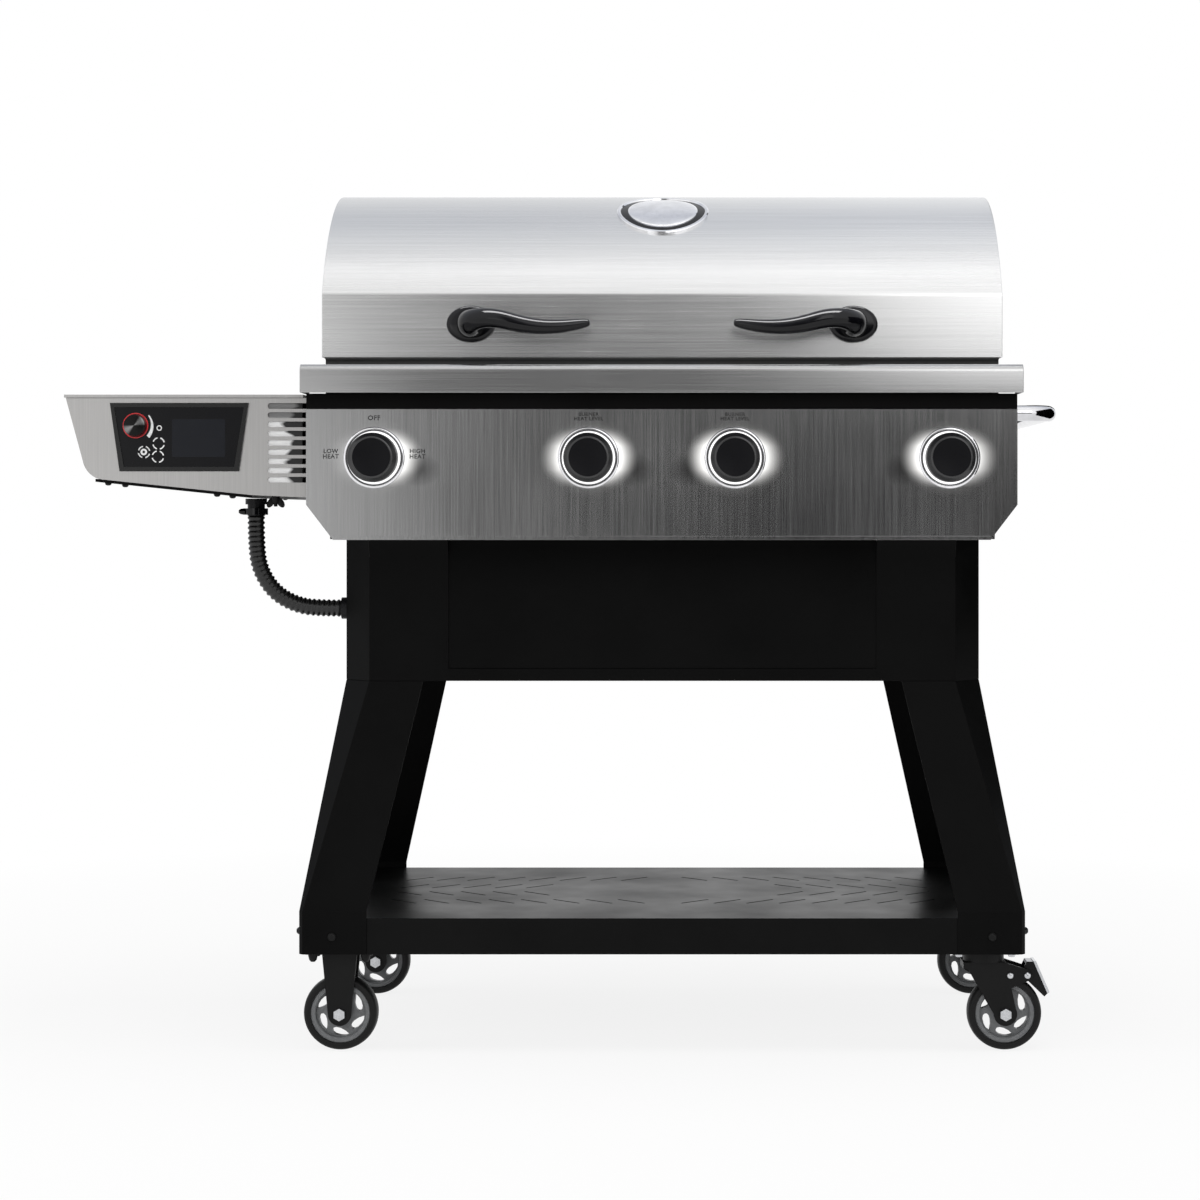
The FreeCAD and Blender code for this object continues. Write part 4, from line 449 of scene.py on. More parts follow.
def make_screen():
    """A switched-off display: a little lighter than the glass, with a faint row texture."""
    screen = Finish("off_screen", {"Specular IOR Level": 0.15})
    rows = screen.add("ShaderNodeTexWave", {"Vector": screen.spot(), "Scale": 900.0}, bands_direction="Z")
    dark = (0.004, 0.005, 0.008, 1)
    light = (0.008, 0.009, 0.013, 1)
    screen.feed("Base Color", screen.colours(rows.outputs["Fac"], dark, light))
    screen.feed("Roughness", screen.spread(screen.noise(40), 0.08, 0.16))
    return screen


def make_spun_black_painted_sheen():
    """A spun dial face: a painted sheen in its colour that fans out from its middle."""
    spun = Finish("spun_black_painted_sheen", {"Metallic": 0.9})
    spot = spun.parts(spun.spot((1, 0, 1), place(*DIAL)))
    turn = spun.maths("ARCTAN2", spot["Z"], spot["X"])
    fan = spun.spread(spun.maths("SINE", spun.maths("MULTIPLY_ADD", turn, 2.0)), 0, 1, -1, 1)
    spun.feed("Base Color", spun.colours(fan, grey(0.012), grey(0.22), 0.72, 1.0))
    rings = spun.maths("MULTIPLY", spun.reach((1, 0, 1), place(*DIAL)), 9000.0)
    spun.feed("Roughness", spun.spread(spun.maths("SINE", rings), 0.26, 0.34, -1, 1))
    return spun


def make_ring_light():
    """A milky light guide, a little uneven in its brightness."""
    guide = Finish("ring_light", {"Base Color": grey(0.8), "Roughness": 0.4, "Emission Color": grey(1)})
    guide.feed("Emission Strength", guide.spread(guide.noise(60), 0.85, 1.1))
    return guide


# The centre of the painted shade on the sheet behind the vents
VENT_SHADE_CENTRE = (-508, 0, 832)


def make_vent_painted_light():
    """Pale sheet behind the vents: its pale colour is a painted reflection of the louvres, with painted
    shadow darkening it towards the right and painted shade darkening it at the top.
    """
    sheet = Finish("vent_lining", {"Roughness": 0.4, "Specular IOR Level": 0.3})
    spot = sheet.parts(sheet.spot(centre=place(*VENT_SHADE_CENTRE)))
    wave = sheet.noise((8, 8, 46), detail=2.0)
    edge = sheet.maths("ADD", spot["X"], sheet.spread(wave, -0.021, 0.005))
    shade = sheet.spread(edge, 0.95, 0.012, start=-0.003, end=0.003)
    upper = sheet.spread(spot["Z"], 1.0, 0.2, start=0.026, end=0.034)
    tone = sheet.maths("MULTIPLY", shade, upper)
    sheet.feed("Base Color", sheet.colours(tone, grey(0.006), grey(1.0), 0, 1))
    return sheet


# The lid, the ledge and the panel are one stainless steel; the lid's tone is set lighter and the ledge's and
# the panel's darker, as painted light and painted shade.
lid_steel = brushed_steel("lid_steel", 0.76, ALONG_X, 0.25, 0.25)
ledge_steel = brushed_steel("ledge_steel", 0.5, ALONG_X, 0.25, 0.22)
panel_steel = brushed_steel("panel_steel", 0.42, ALONG_Z, 0.0, 0.2, blur=0.6)
# The panel carries a painted glow and a painted shadow round each knob.
add_painted_knob_light(panel_steel)
box_steel = brushed_steel("box_steel", 0.44, ALONG_Z, 0.0, 0.32, warm=0.015, blur=0.5)
hinge_steel = brushed_steel("hinge_steel", 0.55, ALONG_X, 0.25, 0.35)
black_paint = painted_black("black_paint", 0.003, 0.42, 900, gloss=0.05)
caster_paint = painted_black("caster_paint", 0.005, 0.4, 900, gloss=0.16)
chamber_paint = painted_black("chamber_paint", 0.03, 0.6, 500, gloss=0.3)
shelf_paint = painted_black("shelf_paint", 0.004, 0.34, 900, gloss=0.07)
chrome = bare_metal("chrome", (0.86, 0.86, 0.88), 0.08, 30, bump=0.02)
# The bar handle's chrome is the bezels' chrome toned darker as painted shade.
bar_chrome = bare_metal("bar_chrome", (0.68, 0.68, 0.7), 0.08, 30, bump=0.02)
zinc = bare_metal("zinc", (0.6, 0.61, 0.63), 0.26, 160)
# The pedals' zinc is the zinc of the axles and treads toned darker as painted shade.
pedal_zinc = bare_metal("pedal_zinc", (0.36, 0.365, 0.38), 0.28, 60)
mill_steel = bare_metal("mill_steel", (0.5, 0.5, 0.51), 0.35, 60)
cast_metal = bare_metal("cast_metal", (0.55, 0.55, 0.56), 0.45, 220)
brass = bare_metal("brass", (0.72, 0.54, 0.25), 0.3, 80)
cast_iron = moulded("cast_iron", (0.025, 0.025, 0.026), 0.5, 700)
gloss_black = moulded("gloss_black", (0.003, 0.003, 0.004), 0.1, 60, gloss=0.28)
knob_black = moulded("knob_black", (0.006, 0.006, 0.007), 0.3, 900, gloss=0.8)
knob_face_black = moulded("knob_face_black", (0.004, 0.004, 0.005), 0.42, 900, gloss=0.1)
fine_black = moulded("fine_black", (0.004, 0.004, 0.005), 0.32, 1200, gloss=0.2)
bezel_black = moulded("bezel_black", grey(0.005), 0.24, 300, gloss=0.32)
dark_glass = moulded("dark_glass", (0.003, 0.003, 0.004), 0.07, 40, gloss=0.12)
rubber = moulded("rubber", (0.006, 0.006, 0.006), 0.5, 600, gloss=0.2)
hub_plastic = moulded("hub_plastic", (0.17, 0.175, 0.18), 0.4, 500)
conduit_black = moulded("conduit_black", (0.005, 0.005, 0.005), 0.3, 800)
print_white = moulded("print_white", (0.8, 0.8, 0.8), 0.5, 900)
print_black = moulded("print_black", (0.012, 0.012, 0.012), 0.5, 900)
accent_red = moulded("accent_red", (0.62, 0.015, 0.02), 0.3, 700)
off_screen = make_screen()
spun_black_painted_sheen = make_spun_black_painted_sheen()
ring_light = make_ring_light()
vent_lining = make_vent_painted_light()

LEGS = [f"leg_{corner}" for corner in CORNERS]
NODE_FINISHES = {
    lid_steel: ["lid_shell"],
    ledge_steel: ["front_ledge"],
    panel_steel: ["control_panel"],
    box_steel: ["side_box", "hopper_lid"],
    hinge_steel: ["lid_hinge_leaves", "lid_hinge_brackets"],
    black_paint: LEGS + ["base_cabinet", "control_box", "side_box_floor"],
    shelf_paint: ["bottom_shelf"],
    caster_paint: ["rigid_forks", "swivel_plates", "swivel_fork_front", "swivel_fork_rear"],
    zinc: ["rigid_axles", "swivel_axle_front", "swivel_axle_rear"],
    pedal_zinc: ["brake_pedal_front", "brake_pedal_rear"],
    rubber: [f"tyre_{corner}" for corner in CORNERS],
    hub_plastic: [f"wheel_hub_{corner}" for corner in CORNERS],
    chamber_paint: ["firebox", "heat_deflector"],
    cast_iron: ["cooking_grates", "fire_pot"],
    mill_steel: ["igniter_rod", "auger_tube", "auger_screw", "fan_housing", "gas_burners", "gas_manifold",
                 "hopper_bin"],
    cast_metal: ["fan_rotor"],
    brass: ["burner_valves"],
    fine_black: ["auger_motor", "mode_switch", "power_button", "conduit_fittings"],
    bezel_black: ["controller_bezel"],
    knob_black: [*KNOBS, "controller_dial"],
    chrome: ["knob_bezels"],
    bar_chrome: ["side_handle"],
    gloss_black: ["lid_handles"],
    dark_glass: ["controller_glass"],
    conduit_black: ["conduit"],
}


def paint_nodes():
    for finish, nodes in NODE_FINISHES.items():
        for node in nodes:
            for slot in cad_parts[node].material_slots:
                slot.material = finish.material


# Shapes

WELD = 0.002
CAD_WELD = 0.005


def finished(name, bm, finish, body, replaces=(), sharp=35, clean=True):
    """Makes a piece of a bmesh, with its finish, and lets it ride on a body."""
    if clean:
        bmesh.ops.remove_doubles(bm, verts=bm.verts, dist=WELD * MM)
        bmesh.ops.recalc_face_normals(bm, faces=bm.faces)
    mesh = bpy.data.meshes.new(name)
    for face in bm.faces:
        face.smooth = True
    bm.to_mesh(mesh)
    bm.free()
    mesh.set_sharp_from_angle(angle=math.radians(sharp))
    piece = add_object(name, mesh)
    mesh.materials.append(finish.material)
    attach(piece, body)
    if replaces:
        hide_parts(*replaces)
    return piece


def add_finish(piece, finish, polygons):
    """Gives some of a piece's faces a second finish."""
    piece.data.materials.append(finish.material)
    for polygon in polygons:
        polygon.material_index = 1


def both_halves(half):
    """A profile of (radius, along) with its other half."""
    return half + [(radius, -along) for radius, along in reversed(half)]


def turned(bm, profile, centre, axis, steps, closed=False):
    """Turns points of (radius, along), in millimetres, about an axis through a centre."""
    spoke = axis.orthogonal().normalized()
    rim = [bm.verts.new(centre + (spoke * radius + axis * along) * MM) for radius, along in profile]
    edges = [bm.edges.new(pair) for pair in zip(rim, rim[1:])]
    if closed:
        edges.append(bm.edges.new((rim[-1], rim[0])))
    before = set(bm.verts) - set(rim)
    bmesh.ops.spin(bm, geom=rim + edges, cent=centre, axis=axis, angle=2 * math.pi, steps=steps,
                   use_merge=True)
    return [vert for vert in bm.verts if vert not in before]


def verts_of(geom):
    return [item for item in geom if isinstance(item, bmesh.types.BMVert)]


def thicken(bm, step):
    """Draws every face out by a step."""
    drawn = bmesh.ops.extrude_face_region(bm, geom=bm.faces[:])["geom"]
    bmesh.ops.translate(bm, vec=step, verts=verts_of(drawn))


def round_edges(bm, edges, radius, segments):
    bmesh.ops.bevel(bm, geom=edges, offset=radius * MM, offset_type="OFFSET", segments=segments, profile=0.5,
                    affect="EDGES", material=-1)


def add_block(bm, size, middle):
    bmesh.ops.create_cube(bm, size=MM)
    bmesh.ops.scale(bm, vec=size, verts=bm.verts)
    bmesh.ops.translate(bm, vec=place(*middle), verts=bm.verts)


def drawn_tube(bm, stations, sides):
    """A ring drawn out from station to station; each has a point, a direction and a radius."""
    ring = bmesh.ops.create_circle(bm, segments=sides, radius=1)["verts"]
    spokes = [vert.co.copy() for vert in ring]
    rings = [ring]
    for _ in stations[1:]:
        last = rings[-1]
        edges = [bm.edges.get((last[number - 1], last[number])) for number in range(sides)]
        drawn = bmesh.ops.extrude_edge_only(bm, edges=edges)["geom"]
        partner = {}
        for vert in verts_of(drawn):
            for edge in vert.link_edges:
                partner[edge.other_vert(vert)] = vert
        rings.append([partner[vert] for vert in last])
    for ring, (point, direction, radius) in zip(rings, stations):
        turn = direction.to_track_quat("Z", "Y")
        for vert, spoke in zip(ring, spokes):
            vert.co = point + turn @ spoke * radius * MM
    bmesh.ops.contextual_create(bm, geom=rings[0])
    return bmesh.ops.contextual_create(bm, geom=rings[-1])["faces"]


def dome_head(bm, where, axis, radius, height):
    """A domed bolt head, sunk a little into its seat."""
    profile = [(0, height), (radius * 0.45, height * 0.96), (radius * 0.8, height * 0.72),
               (radius, height * 0.2), (radius, -0.2), (0, -0.2)]
    turned(bm, profile, where, axis, steps=20)


def hex_head(bm, where, axis, radius, height):
    """A hexagonal bolt head with a chamfered face on a thin washer."""
    turn = axis.to_track_quat("Z", "Y").to_matrix().to_4x4()
    lift = Matrix.Translation(where + axis * (height / 2 + 0.8) * MM)
    made = bmesh.ops.create_cone(bm, cap_ends=True, segments=6, radius1=radius * MM, radius2=radius * MM,
                                 depth=height * MM, matrix=lift @ turn)
    upper = {vert for vert in made["verts"] if (vert.co - where).dot(axis) > height / 2 * MM}
    rim = [edge for edge in bm.edges if upper.issuperset(edge.verts)]
    round_edges(bm, rim, radius * 0.12, 2)
    washer = [(0, 0.9), (radius * 1.25, 0.9), (radius * 1.35, 0.6), (radius * 1.35, -0.2), (0, -0.2)]
    turned(bm, washer, where, axis, steps=24)


def add_heads(name, spots, size, finish, body="cart", head=dome_head):
    """Bolt heads of one radius and height, each at a place and facing its own way."""
    bm = bmesh.new()
    for where, outward in spots:
        head(bm, where, outward, *size)
    finished(name, bm, finish, body)


def against(spot, outward, corner):
    """A spot moved along a direction until it is level with a corner, and that direction."""
    return spot + outward * (corner - spot).dot(outward), outward


def long_bends(bm, shortest, gentlest, sharpest):
    """Edges longer than a length in metres, between faces that meet at an angle in a range of degrees."""
    return [edge for edge in bm.edges if len(edge.link_faces) == 2 and edge.calc_length() > shortest
            and math.radians(gentlest) < edge.calc_face_angle() < math.radians(sharpest)]


def softened(node, finish, body, width, reshape=None):
    """A copy of a sheet piece whose folded and cut edges are slightly rounded."""
    bm = bmesh.new()
    bm.from_mesh(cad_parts[node].data)
    bmesh.ops.remove_doubles(bm, verts=bm.verts, dist=CAD_WELD * MM)
    bmesh.ops.dissolve_limit(bm, angle_limit=math.radians(0.4), verts=bm.verts, edges=bm.edges)
    if reshape:
        reshape(bm)
    piece = finished(f"{node}_dressed", bm, finish, body, replaces=[node], clean=False, sharp=30)
    rounding = piece.modifiers.new("rounded_edges", "BEVEL")
    rounding.width = width * MM
    rounding.segments = 2
    rounding.limit_method = "ANGLE"
    rounding.angle_limit = math.radians(30)
    rounding.harden_normals = True
    return piece


# Cart

LID_BEND = 6
BOX_CORNER = 8


def round_lid_bend(bm):
    """Rounds the long, shallow bend between the lid's arch and its front."""
    round_edges(bm, long_bends(bm, 0.5, 17, 40), LID_BEND, 4)


def stretch_side_box(bm):
    """Draws the left wall out to the end of the hopper lid and rounds the corner below it."""
    low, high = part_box("side_box")
    lid_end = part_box("hopper_lid")[0].x
    for vert in bm.verts:
        if vert.co.z > high.z - 1 * MM and vert.co.x < low.x + 6 * MM:
            vert.co.x += lid_end + 1 * MM - low.x
    corner = [edge for edge in long_bends(bm, 0.3, 15, 70)
              if all(vert.co.x < low.x + 90 * MM and vert.co.z < high.z - 60 * MM for vert in edge.verts)]
    round_edges(bm, corner, BOX_CORNER, 5)


def dress_cart():
    """Sheet pieces with rounded edges."""
    for node in LEGS + ["base_cabinet"]:
        softened(node, black_paint, "cart", 0.8)
    for node, finish in (("control_panel", panel_steel), ("front_ledge", ledge_steel)):
        softened(node, finish, "cart", 0.7)
    softened("control_box", black_paint, "cart", 0.6)
    softened("lid_shell", lid_steel, "lid", 0.7, reshape=round_lid_bend)
    softened("hopper_lid", box_steel, "hopper_cover", 1.2)
    softened("side_box", box_steel, "cart", 0.5, reshape=stretch_side_box)


FOOT_BOLT = {"across": 448, "height": 161, "side_along": 226, "side_height": 163}
CASTER = {"across": 441, "along": 220, "plate": 134, "bolt_across": 36, "bolt_along": 24}
# The side box's floor slopes down from its left end to its right end
BOX_FLOOR = {"left": -762, "right": -551, "left_height": 778, "right_height": 756}
BOX_SCREWS = {"across": (-748, -725, -601, -580), "along": (-284, 205)}
CONTROL_BOX_SCREWS = {"along": -290, "heights": (856, 763)}


def add_foot_bolts():
    """Bolts in the feet of the legs, on the outer sides and on the front and back."""
    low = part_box("leg_front_left")[0]
    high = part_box("leg_rear_right")[1]
    spots = [against(place(0, along, FOOT_BOLT["side_height"]), outward, corner)
             for outward, corner in ((LEFT, low), (RIGHT, high)) for along in both(FOOT_BOLT["side_along"])]
    add_heads("side_foot_bolts", spots, (6, 9), gloss_black)
    spots = [against(place(across, 0, FOOT_BOLT["height"]), outward, corner)
             for outward, corner in ((FRONT, low), (BACK, high)) for across in both(FOOT_BOLT["across"])]
    add_heads("foot_bolts", spots, (6, 3.5), caster_paint)


def caster_bolt_spots(middle):
    """Places under the plates of the two casters on one side."""
    return [(place(middle + across, along + step, CASTER["plate"]), DOWN)
            for along in both(CASTER["along"]) for step in both(CASTER["bolt_along"])
            for across in both(CASTER["bolt_across"])]


def add_fasteners():
    """Bolts of the feet and of the caster plates, and screws of the side box and the control box."""
    add_foot_bolts()
    spots = caster_bolt_spots(CASTER["across"])
    add_heads("caster_plate_bolts", spots, (5, 3), zinc, head=hex_head)
    spots = caster_bolt_spots(-CASTER["across"])
    add_heads("caster_dome_nuts", spots, (6.5, 11), caster_paint)

    slope = (BOX_FLOOR["right_height"] - BOX_FLOOR["left_height"]) / (BOX_FLOOR["right"] - BOX_FLOOR["left"])
    spots = []
    for across in BOX_SCREWS["across"]:
        height = BOX_FLOOR["left_height"] + slope * (across - BOX_FLOOR["left"])
        spots += [(place(across, along, height), DOWN) for along in BOX_SCREWS["along"]]
    add_heads("side_box_screws", spots, (4.5, 3.5), caster_paint)

    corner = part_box("control_box")[1]
    spots = [against(place(0, CONTROL_BOX_SCREWS["along"], height), RIGHT, corner)
             for height in CONTROL_BOX_SCREWS["heights"]]
    add_heads("control_box_screws", spots, (4, 2.5), zinc)


WING_NUT = (-527, -250, 759)
WING_NUT_PROFILE = [(0, -0.5), (5.5, -0.5), (5.5, 4), (4.2, 9), (2.6, 9), (2.6, 14), (0, 14.4)]
WING = {"out": 6.5, "drop": 8.5, "lean": 34, "size": (4.6, 1.6, 8.2)}


def add_wing_nut():
    """A wing nut under the side box, on the end of its stud."""
    bm = bmesh.new()
    where = place(*WING_NUT)
    turned(bm, WING_NUT_PROFILE, where, DOWN, steps=20)
    for side in (-1, 1):
        lean = Matrix.Rotation(math.radians(-side * WING["lean"]), 4, "Y")
        at = Matrix.Translation(where + Vector((side * WING["out"], 0, -WING["drop"])) * MM)
        wing = bmesh.ops.create_uvsphere(bm, u_segments=16, v_segments=8, radius=MM)["verts"]
        bmesh.ops.scale(bm, vec=WING["size"], verts=wing)
        bmesh.ops.transform(bm, matrix=at @ lean, verts=wing)
    finished("wing_nut", bm, caster_paint, "cart")


CLAMP = (-566.5, -166, 738)
CLAMP_BAND = both_halves([(15.2, -4.5), (16.4, -4.5)])
CLAMP_SCREW = (-14.8, -5, 0)


def add_conduit_clamp():
    """A band clamp with a tightening screw on the conduit's upper fitting."""
    bm = bmesh.new()
    turned(bm, CLAMP_BAND, place(*CLAMP), DOWN, steps=40, closed=True)
    dome_head(bm, place(*CLAMP) + Vector(CLAMP_SCREW) * MM, LEFT, 4.6, 9)
    finished("conduit_clamp", bm, gloss_black, "cart")


# Wheels and brakes

TYRE = both_halves([(41, -15.5), (44.5, -16), (47, -15.6), (49.3, -13.6), (50.4, -9.5), (51, -3)])
HUB_RIM = both_halves([(33.8, -12), (35, -13), (39.8, -13), (41, -12)])
HUB_BARREL = both_halves([(5.2, -17), (12, -17), (13, -16)])
HUB_WEB = {"inner": 12.5, "outer": 34.2, "half": 5}
# One opening of the web: (outwards, round) from its own middle
HUB_LEAF = [(-2.5, -11.5), (-4.6, -8), (-5, -2), (-3.6, 5), (-0.3, 12.3), (3.2, 8), (5, 1), (5, -6),
            (3.2, -10.5), (0.4, -12)]
LEAF_RADIUS = 27
LEAF_LEAN = -16


def add_hub_web(bm, centre):
    """A round web with a ring of slanted leaf-shaped openings."""
    for radius in (HUB_WEB["inner"], HUB_WEB["outer"]):
        bmesh.ops.create_circle(bm, segments=72, radius=radius * MM)
    for turn in range(30, 390, 60):
        out = Matrix.Rotation(math.radians(turn), 3, "Z") @ Vector((LEAF_RADIUS, 0, 0))
        lean = Matrix.Rotation(math.radians(turn + LEAF_LEAN), 3, "Z")
        ring = [bm.verts.new((out + lean @ Vector((*point, 0))) * MM) for point in HUB_LEAF]
        for pair in zip(ring, ring[1:] + ring[:1]):
            bm.edges.new(pair)
    bmesh.ops.triangle_fill(bm, use_beauty=True, edges=bm.edges[:], normal=UP)
    bmesh.ops.translate(bm, vec=DOWN * HUB_WEB["half"] * MM, verts=bm.verts)
    thicken(bm, UP * 2 * HUB_WEB["half"] * MM)
    bmesh.ops.transform(bm, matrix=Matrix.Translation(centre) @ UPRIGHT, verts=bm.verts)


def dress_wheels():
    """Tyres with a crowned tread and rounded shoulders, on hubs with slanted openings."""
    for corner in CORNERS:
        body = f"wheel_{corner}"
        node = f"tyre_{corner}"
        bm = bmesh.new()
        turned(bm, TYRE, middle_of(node), BACK, steps=72, closed=True)
        finished(f"{node}_dressed", bm, rubber, body, replaces=[node])

        node = f"wheel_hub_{corner}"
        bm = bmesh.new()
        add_hub_web(bm, middle_of(node))
        for profile in (HUB_RIM, HUB_BARREL):
            turned(bm, profile, middle_of(node), BACK, steps=72, closed=True)
        finished(f"{node}_dressed", bm, hub_plastic, body, replaces=[node])


BRAKE_PIN = {"across": 499, "height": 104, "cheek": 22}
RIVET_STEP = -23.5
# Side view of the tread plate on a pedal's slope: (across, up) from the brake pin
TREAD = [(8.8, 18.8), (12.5, 18.8), (30.8, -23.6), (28, -25.6)]
TREAD_WIDTH = 34


def dress_brakes():
    """Pedals with painted side plates under a bright tread, and rivets in the fork cheeks."""
    for end, along in zip(("front", "rear"), both(CASTER["along"])):
        pedal = softened(f"brake_pedal_{end}", pedal_zinc, f"brake_{end}", 0.4)
        sides = [polygon for polygon in pedal.data.polygons if abs(polygon.normal.y) > 0.9]
        add_finish(pedal, caster_paint, sides)

        bm = bmesh.new()
        corners = [place(BRAKE_PIN["across"] + across, along - TREAD_WIDTH / 2, BRAKE_PIN["height"] + up)
                   for across, up in TREAD]
        bm.faces.new([bm.verts.new(corner) for corner in corners])
        thicken(bm, BACK * TREAD_WIDTH * MM)
        finished(f"brake_tread_{end}", bm, zinc, f"brake_{end}")

        spots = []
        for outward, cheek in zip((FRONT, BACK), both(BRAKE_PIN["cheek"])):
            for step in (0, RIVET_STEP):
                where = place(BRAKE_PIN["across"] + step, along + cheek, BRAKE_PIN["height"])
                spots.append((where, outward))
        add_heads(f"brake_rivets_{end}", spots, (4.7, 2.6), zinc, body=f"swivel_{end}")


# Knobs and bezels

KNOB_PROFILE = [(0, 0.35), (24.4, 0.35), (25.2, 0), (25.7, 0.75), (26.6, 0.85), (27.8, 1.45), (31.6, 7.55),
                (32.6, 8.95), (33, 10.55), (33, 28.95), (32.4, 29.95), (31, 30.35), (5, 30.35), (5, 58.85),
                (0, 58.85)]
KNOB_FACE = {"radius": 25.2, "depth": 1}
BEZEL = [(35, 0), (41.5, 0), (41.5, 1.4), (40.9, 2.6), (39.6, 3.6), (38.2, 4), (36.8, 3.6), (35.6, 2.6),
         (35, 1.4)]
RING_LAMP = [(24, 0.3), (35, 0.3), (35, 1.2), (24, 1.2)]


def on_knob_face(polygon, front):
    out = polygon.center - front
    return out.xz.length < KNOB_FACE["radius"] * MM and out.y < KNOB_FACE["depth"] * MM


def dress_knobs():
    """Turned knobs with a dull face inside a fine ridge."""
    for node in KNOBS:
        front = front_of(node)
        bm = bmesh.new()
        turned(bm, KNOB_PROFILE, front, BACK, steps=96)
        body = node.replace("knob", "control")
        knob = finished(f"{node}_dressed", bm, knob_black, body, replaces=[node], sharp=28)
        face = [polygon for polygon in knob.data.polygons if on_knob_face(polygon, front)]
        add_finish(knob, knob_face_black, face)


def rings_on_panel(bm, profile, steps):
    """A turned ring round each knob."""
    for across, _, _ in KNOBS.values():
        centre = place(across, 0, KNOB_HEIGHT)
        centre.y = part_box("knob_bezels")[1].y
        turned(bm, profile, centre, FRONT, steps, closed=True)


def dress_bezels():
    """Rounded chrome rings on the panel."""
    bm = bmesh.new()
    rings_on_panel(bm, BEZEL, 96)
    finished("knob_bezels_dressed", bm, chrome, "cart", replaces=["knob_bezels"])


def add_ring_lamps():
    """Light guides on the panel between the knobs and their bezels."""
    bm = bmesh.new()
    rings_on_panel(bm, RING_LAMP, 72)
    finished("ring_lamps", bm, ring_light, "cart")


# Lid handles and badge

HORN_ROOT = (259, -270, 992)
# Stations of the right horn from its root: towards the middle, out, up, and the radius there
HORN = [
    (0, 0, 0, 20.5),
    (0, 12, 0, 20.3),
    (0.5, 24, 0.6, 18.8),
    (5, 36, 3, 15.8),
    (19, 46.5, 6, 14.2),
    (42, 52, 4.5, 13.4),
    (67, 53, -3.5, 12.5),
    (101, 52, -8, 10.6),
    (134, 50, -5.5, 9),
    (157, 48, -1.5, 6.8),
    (161.5, 48, -1, 4.6),
]
HORN_TIP = {"inset": 1.6, "depth": 1.4}
ROSE = [(0, 8), (26, 8), (30.5, 7.3), (32.8, 5.6), (33.5, 3), (33.5, 0), (0, 0)]
ROSE_WIDTH = 67
ROSE_HEIGHT = 50


def dress_handles():
    """Two horns that taper towards the middle of the lid, on oval roses."""
    bm = bmesh.new()
    root = place(*HORN_ROOT)
    points = [root + Vector((-along, -out, rise)) * MM for along, out, rise, _ in HORN]
    stations = []
    for index, point in enumerate(points):
        before = points[max(index - 1, 0)]
        after = points[min(index + 1, len(points) - 1)]
        stations.append((point, after - before, HORN[index][3]))
    tip = drawn_tube(bm, stations, 12)
    bmesh.ops.inset_region(bm, faces=tip, thickness=HORN_TIP["inset"] * MM, depth=HORN_TIP["depth"] * MM)
    aside = Vector((lid_middle.x, 0, 0))
    bmesh.ops.translate(bm, vec=-aside, verts=bm.verts)
    bmesh.ops.mirror(bm, geom=bm.verts[:] + bm.edges[:] + bm.faces[:], axis="X", merge_dist=0)
    bmesh.ops.translate(bm, vec=aside, verts=bm.verts)
    horns = finished("lid_horns", bm, gloss_black, "lid", replaces=["lid_handles"], sharp=80)
    smooth = horns.modifiers.new("smooth", "SUBSURF")
    smooth.levels = 2
    smooth.render_levels = 2

    bm = bmesh.new()
    across, along, height = HORN_ROOT
    for side in both(across):
        root = place(side, along, height)
        rose = turned(bm, ROSE, root, FRONT, steps=64)
        from_root = Matrix.Translation(-root)
        bmesh.ops.scale(bm, vec=(1, 1, ROSE_HEIGHT / ROSE_WIDTH), verts=rose, space=from_root)
    finished("lid_roses", bm, gloss_black, "lid", replaces=["lid_handles"])


def light_handles():
    """An overhead lamp that draws a bright line along the top of the lid handles alone."""
    lamp = area_lamp("handle_lamp", *HANDLE_LAMP, mirrored=True)
    handles = bpy.data.collections.new("lid_handle_pieces")
    for name in ("lid_horns", "lid_roses"):
        handles.objects.link(bpy.data.objects[name])
    lamp.light_linking.receiver_collection = handles


LID_ARCH = {"radius": 307.8, "height": 885.2}
BADGE_LEAN = 27.9
BADGE_RIM = [(64, -0.5), (64, 2.6), (63, 3.6), (61, 3.9), (59.4, 3.4), (58.6, 2.2), (58.4, -0.5)]
BADGE_FIELD = [(58.6, 1.4), (50, 1.6), (42, 1.7), (34, 1.8), (26, 1.9), (18, 2), (9, 2), (0, 2)]
BADGE_DOME = [(49, 1.2), (48.6, 3), (47.4, 3.8), (44, 4.2), (34, 4.5), (22, 4.7), (10, 4.8), (0, 4.8)]


def bend_to_arch(verts):
    """Lays a flat badge on the arch of the lid."""
    axis = place(0, 0, LID_ARCH["height"])
    radius = LID_ARCH["radius"] * MM
    for vert in verts:
        across, tangent, height = vert.co
        angle = math.radians(BADGE_LEAN) - tangent / radius
        reach = radius + height
        vert.co = axis + Vector((across, -reach * math.sin(angle), reach * math.cos(angle)))


def add_badge():
    """A plain round plate on the arch: a polished rim and dome on a black field."""
    for name, profiles, finish, slot in (
        ("badge_rim", [BADGE_RIM, BADGE_DOME], chrome, "chrome"),
        ("badge_field", [BADGE_FIELD], gloss_black, "black_handle"),
    ):
        bm = bmesh.new()
        for profile in profiles:
            turned(bm, profile, Vector(), UP, steps=72)
        bmesh.ops.remove_doubles(bm, verts=bm.verts, dist=WELD * MM)
        bend_to_arch(bm.verts)
        finished(name, bm, finish, "lid")


# Side box

PRINT_DEPTH = 0.25
DIAL_PROFILE = [(0, 11), (12.6, 11), (13.6, 10.6), (14.4, 9.6), (15.4, 1), (15.4, 0.4), (0, 0.4)]
DIAL_RING = (15.7, 17.2)
DIAL_ARC = {"radius": 22.4, "start": -42, "end": 38, "widths": (5.2, 1.6)}
